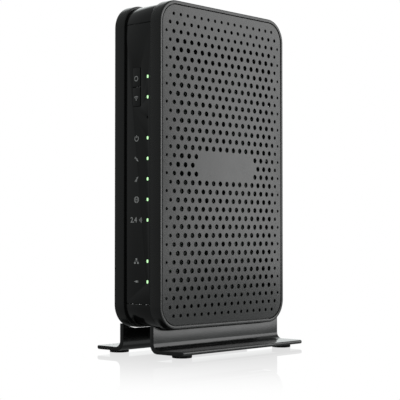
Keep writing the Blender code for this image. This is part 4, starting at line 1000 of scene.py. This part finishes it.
def make_lan_jack(node):
    """A network socket: a stepped mouth, eight sprung contacts and two lamps."""
    low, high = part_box(node)
    z = (low.z + high.z) / 2
    mouth_x = low.x + 0.0014
    mouth_end = mouth_x + 0.0081
    back = high.y - 0.0140
    bm = box_bm(low, high)
    cutters = [
        box_bm((start, back + deep, z - half), (end, high.y + out, z + half))
        for start, end, deep, out, half in (
            (mouth_x, mouth_end, 0.0, 0.001, 0.0059),
            (mouth_end - 0.0010, mouth_end + 0.0013, 0.0010, 0.002, 0.0031),
            (mouth_end + 0.0005, mouth_end + 0.0024, 0.002, 0.003, 0.0016),
        )
    ]
    bm = soften(carved(bm, cutters), 0.00022)
    for number in range(8):
        contact_z = z + (number - 3.5) * 0.00102
        points = [
            (mouth_x + 0.0002, high.y - 0.0012),
            (mouth_x + 0.0009, high.y - 0.0020),
            (mouth_x + 0.0034, high.y - 0.0095),
            (mouth_x + 0.0036, back + 0.0004),
        ]
        add_wire(bm, [(x, y, contact_z) for x, y in points], 0.00022, 2)
    for end, material in ((-1, 3), (1, 4)):
        lamp_low = (high.x - 0.0034, high.y - 0.0004, z + end * 0.0066 - 0.0009)
        lamp_high = (high.x - 0.0012, high.y + 0.00012, z + end * 0.0066 + 0.0009)
        add_round_box(bm, lamp_low, lamp_high, 0.0002, 2, material)
    materials = [SOCKET, SOCKET, GOLD, LAN_GREEN, LAN_AMBER]
    piece(f"{node}_socket", bm, materials, "modem", [node])


def add_wire(bm, points, radius, material, sides=8):
    """A round wire through the points."""
    part = bmesh.new()
    rings = []
    for i, point in enumerate(points):
        here = Vector(point)
        before = Vector(points[i - 1]) if i else here
        after = Vector(points[i + 1]) if i < len(points) - 1 else here
        along = (after - before).normalized()
        across = along.cross(Vector((0.0, 0.0, 1.0))).normalized()
        up = along.cross(across)
        turns = [2 * math.pi * side / sides for side in range(sides)]
        ring = [here + radius * (math.cos(t) * across + math.sin(t) * up) for t in turns]
        rings.append([part.verts.new(place) for place in ring])
    skin(part, rings)
    part.faces.new(rings[0])
    part.faces.new(list(reversed(rings[-1])))
    bmesh.ops.recalc_face_normals(part, faces=part.faces)
    join(bm, painted(part, material))


def make_usb():
    """A flat USB socket: a folded shell, its tongue and four contacts."""
    low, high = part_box("usb_port")
    z = (low.z + high.z) / 2
    back = high.y - 0.0110
    mouth_x = low.x + 0.0010
    bm = box_bm(low, high)
    cut = box_bm((mouth_x, back, z - 0.0062), (mouth_x + 0.0050, high.y + 0.001, z + 0.0062))
    bm = soften(carved(bm, [cut]), 0.00025)
    tongue_x = mouth_x + 0.0026
    tongue_low = (tongue_x, back - 0.0005, z - 0.0050)
    add_round_box(bm, tongue_low, (tongue_x + 0.0018, back + 0.0085, z + 0.0050), 0.0003, 2, 1)
    for offset in (-0.0035, -0.0010, 0.0010, 0.0035):
        contact_low = (tongue_x - 0.00012, back + 0.0010, z + offset - 0.0005)
        add_round_box(bm, contact_low, (tongue_x + 0.0002, back + 0.0078, z + offset + 0.0005), 0.0001, 1, 2)
    for offset in (-0.0032, 0.0032):
        spring_low = (mouth_x - 0.0001, high.y - 0.0060, z + offset - 0.0010)
        add_round_box(bm, spring_low, (mouth_x + 0.0005, high.y - 0.0008, z + offset + 0.0010), 0.0002, 2)
    piece("usb_socket", bm, [SHELL, SOCKET, GOLD], "modem", ["usb_port"])


def make_dc():
    low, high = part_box("dc_jack")
    x = low.x + 0.0055
    z = (low.z + high.z) / 2
    bore = pin(0.0031, (351, 39), -high.y - 0.001, -high.y + 0.0090, along_y(x, 0.0, z, -1))
    bm = soften(carved(box_bm(low, high), [bore]), 0.0003, 3)
    piece("dc_socket", bm, [SOCKET], "modem", ["dc_jack"])
    pin_low, pin_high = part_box("dc_pin")
    radius = (pin_high.x - pin_low.x) / 2
    long = pin_high.y - pin_low.y
    profile = [(0, long)] + arc((0, long - radius), radius, 80, 0, 5) + [(radius, 0), (0, 0)]
    bm = turned(profile, 32, along_y(x, pin_low.y, z))
    piece("dc_centre_pin", bm, [NICKEL], "modem", ["dc_pin"])


def make_coax():
    """The threaded barrel, its nut and the insulator with the centre socket."""
    low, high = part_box("coax_connector")
    nut_low, nut_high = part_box("coax_nut")
    x, _, z = middle_of(nut_low, nut_high)
    root = COAX_RADIUS - COAX_THREAD_DEPTH
    start = nut_low.y - 0.0036
    length = high.y - start
    profile = [(0, 0.0), (COAX_RADIUS, 0.0)]
    y = 0.0006
    while y < length - 0.0008:
        profile += [(COAX_RADIUS, y), (root, y + COAX_THREAD * 0.42), (root, y + COAX_THREAD * 0.52)]
        y += COAX_THREAD
    profile += [(COAX_RADIUS, length - 0.0007), (COAX_RADIUS - 0.0005, length)]
    profile += [(COAX_BORE + 0.0002, length), (COAX_BORE, length - 0.0002)]
    profile += [(COAX_BORE, length - 0.0080), (0, length - 0.0080)]
    bm = turned(profile, 48, along_y(x, start, z))
    add_round_box(bm, (x - 0.0060, low.y, z - 0.0060), (x + 0.0060, start + 0.0002, z + 0.0060), 0.0004)
    add_round_box(bm, (x, low.y, z - 0.0040), (high.x, start - 0.0018, z + 0.0040), 0.0003)
    piece("coax_barrel", bm, [NICKEL], "modem", ["coax_connector"], sharp=25.0)

    across = max((nut_high.z - nut_low.z) / 2, (nut_high.x - nut_low.x) / 2)
    place = along_y(x, nut_low.y, z)
    turns = [math.radians(60 * k) for k in range(6)]
    hexagon = [(across * math.cos(t), across * math.sin(t)) for t in turns]
    nut = prism(hexagon, 0.0, nut_high.y - nut_low.y, place)
    hole = pin(COAX_RADIUS + GAP * 0.5, HOLE_TURNS, -0.001, 0.005, place)
    nut = soften(carved(nut, [hole]), 0.00035)
    piece("coax_lock_nut", nut, [NICKEL], "modem", ["coax_nut"])

    low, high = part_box("coax_insulator")
    long = high.y - low.y
    ring = (high.x - low.x) / 2
    dip = long - 0.0004
    profile = [(0.0, long - 0.0040), (0.0005, long - 0.0040), (0.0005, long), (0.0009, long), (0.0010, dip)]
    profile += [(ring - 0.0006, dip), (ring - 0.0004, long), (ring, dip), (ring, 0.0), (0.0, 0.0)]
    bm = turned(profile, 40, along_y(x, low.y, z))
    piece("coax_dielectric", bm, [WHITE], "modem", ["coax_insulator"])


def make_rear_buttons():
    low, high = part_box("power_button")
    x, _, z = middle_of(low, high)
    lip = (high.x - low.x) / 2
    dish = 0.0026
    base = PLATE_HIGH.y
    lip_end = PLATE_LOW.y - GAP - base
    top = high.y - base
    profile = [(0, top - 0.0004), (dish * 0.6, top - 0.00034), (dish, top - 0.0001)]
    profile += arc((POWER_RADIUS - 0.0005, top - 0.0005), 0.0005, 90, 0, 4)
    profile += [(POWER_RADIUS, lip_end), (lip, lip_end), (lip, lip_end - 0.0010), (0.0015, lip_end - 0.0010)]
    profile += [(0.0015, low.y - base), (0, low.y - base)]
    bm = turned(profile, 48, along_y(x, base, z))
    piece("power_cap", bm, [BUTTON], "power_button", ["power_button"])
    low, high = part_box("reset_button")
    reset_x, _, reset_z = middle_of(low, high)
    long = high.y - low.y
    radius = (high.x - low.x) / 2
    profile = [(0, long)] + arc((radius - 0.0003, long - 0.0003), 0.0003, 90, 0, 3) + [(radius, 0), (0, 0)]
    bm = turned(profile, 28, along_y(reset_x, low.y, reset_z))
    piece("reset_plunger", bm, [WHITE], "reset_button", ["reset_button"])
    mark = bmesh.new()
    mark_power(mark)
    placed(mark, Matrix.Translation((x, PLATE_HIGH.y, z + 0.0068)) @ Matrix.Rotation(math.pi, 4, "Z"))
    piece("power_mark", thicken_back(mark), [INK], "modem")


def thicken_back(bm):
    """As thicken, but standing out towards +Y from the rear plate."""
    for vert in thicken(bm).verts:
        vert.co.y = 2 * PLATE_HIGH.y - vert.co.y
    return bm


# ================ screws and inner parts
HEAD_RADIUS = 0.0026
HEAD_TALL = 0.0014
SHANK_RADIUS = 0.0011


def make_screw(node, outward=-1):
    """A pan-head screw with a cross recess and a threaded shank; outward is its head's side in X."""
    low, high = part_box(node)
    _, y, z = middle_of(low, high)
    long = high.x - low.x - HEAD_TALL
    profile = [(0, HEAD_TALL), (HEAD_RADIUS * 0.5, HEAD_TALL), (HEAD_RADIUS * 0.8, HEAD_TALL * 0.78)]
    profile += [(HEAD_RADIUS, HEAD_TALL * 0.4), (HEAD_RADIUS, 0), (SHANK_RADIUS, 0)]
    at = -0.0003
    while at > -long + 0.0012:
        profile += [(SHANK_RADIUS, at), (SHANK_RADIUS * 0.78, at - 0.00025)]
        at -= 0.0005
    profile += [(SHANK_RADIUS * 0.3, -long), (0, -long)]
    arms = []
    for turn in (0.0, math.pi / 2):
        arm = box_bm((-0.0014, -0.0003, HEAD_TALL - 0.0007), (0.0014, 0.0003, HEAD_TALL + 0.001))
        arms.append(placed(arm, Matrix.Rotation(turn, 4, "Z")))
    head_x = high.x - HEAD_TALL if outward > 0 else low.x + HEAD_TALL
    place = Matrix.Translation((head_x, y, z)) @ Matrix.Rotation(outward * math.pi / 2, 4, "Y")
    bm = placed(carved(turned(profile, 32), arms), place)
    piece(f"{node}_fixing", bm, [STEEL], "modem", [node], sharp=30.0)


def finish_inner_parts():
    """The boxy inner parts keep their CAD shapes and get worked-out materials."""
    for material, names in (
        (BOARD, ("main_board", "front_board", "antenna_1", "antenna_2")),
        (EPOXY, ("modem_chip", "memory_chip_1", "memory_chip_2", "flash_chip", "power_inductor")),
        (EPOXY, ("lan_magnetics", "capacitor_1", "capacitor_2", "wps_switch", "wifi_switch")),
        (EPOXY, ("power_switch", "reset_switch", "antenna_lead_1", "antenna_lead_2")),
        (ALUMINIUM, ("heat_sink",)),
        (SHELL, ("tuner_shield",)),
    ):
        for name in names:
            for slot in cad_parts[name].material_slots:
                slot.material = material


# ================ studio
CAMERA_PLACE = (0.5207, MIDDLE_Y - 0.5688, 0.0735)
CAMERA_AIM = (-0.6762, 0.7362, 0.0288)
CAMERA_LENS = 107.9
CAMERA_SENSOR = 36.0
CAMERA_CLIP = (0.01, 50.0)
MIRRORED_AIM = (0.6762, 0.7362)           # where the camera looks by way of the vented side
SOFTBOX_AWAY = 0.50
SOFTBOX_ENDS = (0.024, 0.500)
SOFTBOX_WIDTH = 0.26
SOFTBOX_RADIANCE = 2.6
WASH_PLACE = (1.3, 0.1, 0.6)
WASH_AIM = (0.0, 0.0, 0.1)
WASH_SIZE = 0.8
WASH_POWER = 2.0
ROOM_COLOUR = (0.96, 1.0, 0.99, 1.0)
HORIZON = (-0.30, 0.22)                   # from the dimmer floor to the walls, by a direction's Z
WORLD_ABOVE = 0.27
WORLD_BELOW = 0.17
BACK_GLOW = 1.2
BACK_GLOW_AIM = (-MIRRORED_AIM[0], MIRRORED_AIM[1], 0.30)
BACK_GLOW_ENDS = (0.80, 0.96)
FLOOR_GLOW = 0.45
FLOOR_GLOW_AIM = (*MIRRORED_AIM, -0.22)
FLOOR_GLOW_ENDS = (0.86, 0.97)
MIRROR_STRENGTH = 0.28
MIRROR_ENDS = (0.03, 0.23)                # where the floor's mirror starts to fade and where it ends
FLOOR_HALF = 3.0
WHITE_LIGHT = (1.0, 1.0, 1.0, 1.0)


def make_camera():
    data = bpy.data.cameras.new("camera")
    data.lens = CAMERA_LENS
    data.sensor_width = CAMERA_SENSOR
    data.clip_start, data.clip_end = CAMERA_CLIP
    camera = linked("camera", data)
    camera.location = CAMERA_PLACE
    camera.rotation_euler = Vector(CAMERA_AIM).to_track_quat("-Z", "Y").to_euler()
    bpy.context.scene.camera = camera


def make_light(name, place, aim, size, power):
    data = bpy.data.lights.new(name, "AREA")
    data.shape = "RECTANGLE"
    data.size, data.size_y = size
    data.energy = power
    light = linked(name, data)
    light.location = place
    light.rotation_euler = (Vector(aim) - Vector(place)).to_track_quat("-Z", "Y").to_euler()
    light.visible_camera = False
    return light


def make_world():
    """White to the camera, and to its mirrored rays; a dim room with soft glows to the modem."""
    world = bpy.data.worlds.new("studio")
    bpy.context.scene.world = world
    world.use_nodes = True
    n = Nodes(world.node_tree, "Generated")
    height = n.node("ShaderNodeSeparateXYZ", {"Vector": n.place}).outputs["Z"]
    room = n.ease(height, HORIZON, WORLD_BELOW, WORLD_ABOVE)
    behind = n.ease(n.towards(BACK_GLOW_AIM), BACK_GLOW_ENDS, 0.0, BACK_GLOW)
    low = n.ease(n.towards(FLOOR_GLOW_AIM), FLOOR_GLOW_ENDS, 0.0, FLOOR_GLOW)
    total = n.math(n.math(room, behind), low)
    lit = n.node("ShaderNodeBackground", {"Color": ROOM_COLOUR, "Strength": total})
    seen = n.node("ShaderNodeBackground", {"Color": WHITE_LIGHT, "Strength": 1.0})
    rays = n.node("ShaderNodeLightPath").outputs
    direct = n.math(rays["Is Camera Ray"], rays["Is Singular Ray"], "MAXIMUM")
    shader = n.mix(direct, lit.outputs["Background"], seen.outputs["Background"])
    n.tree.links.new(shader, n.tree.nodes["World Output"].inputs["Surface"])


def make_floor():
    """A white sweep that mirrors the modem faintly, less and less away from its middle."""
    material, n = node_material("floor")
    n.tree.nodes.remove(n.tree.nodes["Principled BSDF"])
    away = n.node("ShaderNodeVectorMath", {0: n.place}, operation="LENGTH").outputs["Value"]
    share = n.ease(away, MIRROR_ENDS, MIRROR_STRENGTH, 0.0)
    white = n.node("ShaderNodeEmission")
    mirror = n.node("ShaderNodeBsdfGlossy", {"Roughness": 0.0, "Color": WHITE_LIGHT})
    shader = n.mix(share, white.outputs["Emission"], mirror.outputs["BSDF"])
    n.tree.links.new(shader, n.tree.nodes["Material Output"].inputs["Surface"])
    bm = bmesh.new()
    bmesh.ops.create_grid(bm, x_segments=8, y_segments=8, size=FLOOR_HALF)
    mesh = bpy.data.meshes.new("floor")
    bm.to_mesh(mesh)
    bm.free()
    mesh.materials.append(material)
    floor = linked("floor", mesh)
    floor.visible_glossy = False
    floor.visible_diffuse = False


def make_studio():
    make_world()
    make_floor()
    low, high = SOFTBOX_ENDS
    middle = (low + high) / 2
    place = (SOFTBOX_AWAY * MIRRORED_AIM[0], MIDDLE_Y + SOFTBOX_AWAY * MIRRORED_AIM[1], middle)
    power = SOFTBOX_RADIANCE * math.pi * SOFTBOX_WIDTH * (high - low)
    make_light("side_softbox", place, (0.0, MIDDLE_Y, middle), (SOFTBOX_WIDTH, high - low), power)
    wash = make_light("side_wash", WASH_PLACE, WASH_AIM, (WASH_SIZE, WASH_SIZE), WASH_POWER)
    wash.visible_glossy = False
    bpy.context.scene.view_settings.view_transform = "Standard"
    bpy.context.scene.view_settings.look = "None"


# ================ the whole modem
make_camera()
for side, prefix in ((1, "right"), (-1, "left")):
    make_cover(side, f"{prefix}_cover")
    make_grille(side, f"{prefix}_vent_panel")
make_band()
make_fascia()
make_light_guide()
make_marks()
make_button("wps_button", mark_loop)
make_button("wifi_button", mark_waves)
make_stand()
for number in range(1, 5):
    make_foot(f"foot_{number}")
    make_screw(f"cover_screw_{number}", 1 if number > 2 else -1)
    make_screw(f"board_screw_{number}")
make_port_plate()
make_lan_jack("lan_jack_1")
make_lan_jack("lan_jack_2")
make_usb()
make_dc()
make_coax()
make_rear_buttons()
finish_inner_parts()
make_studio()
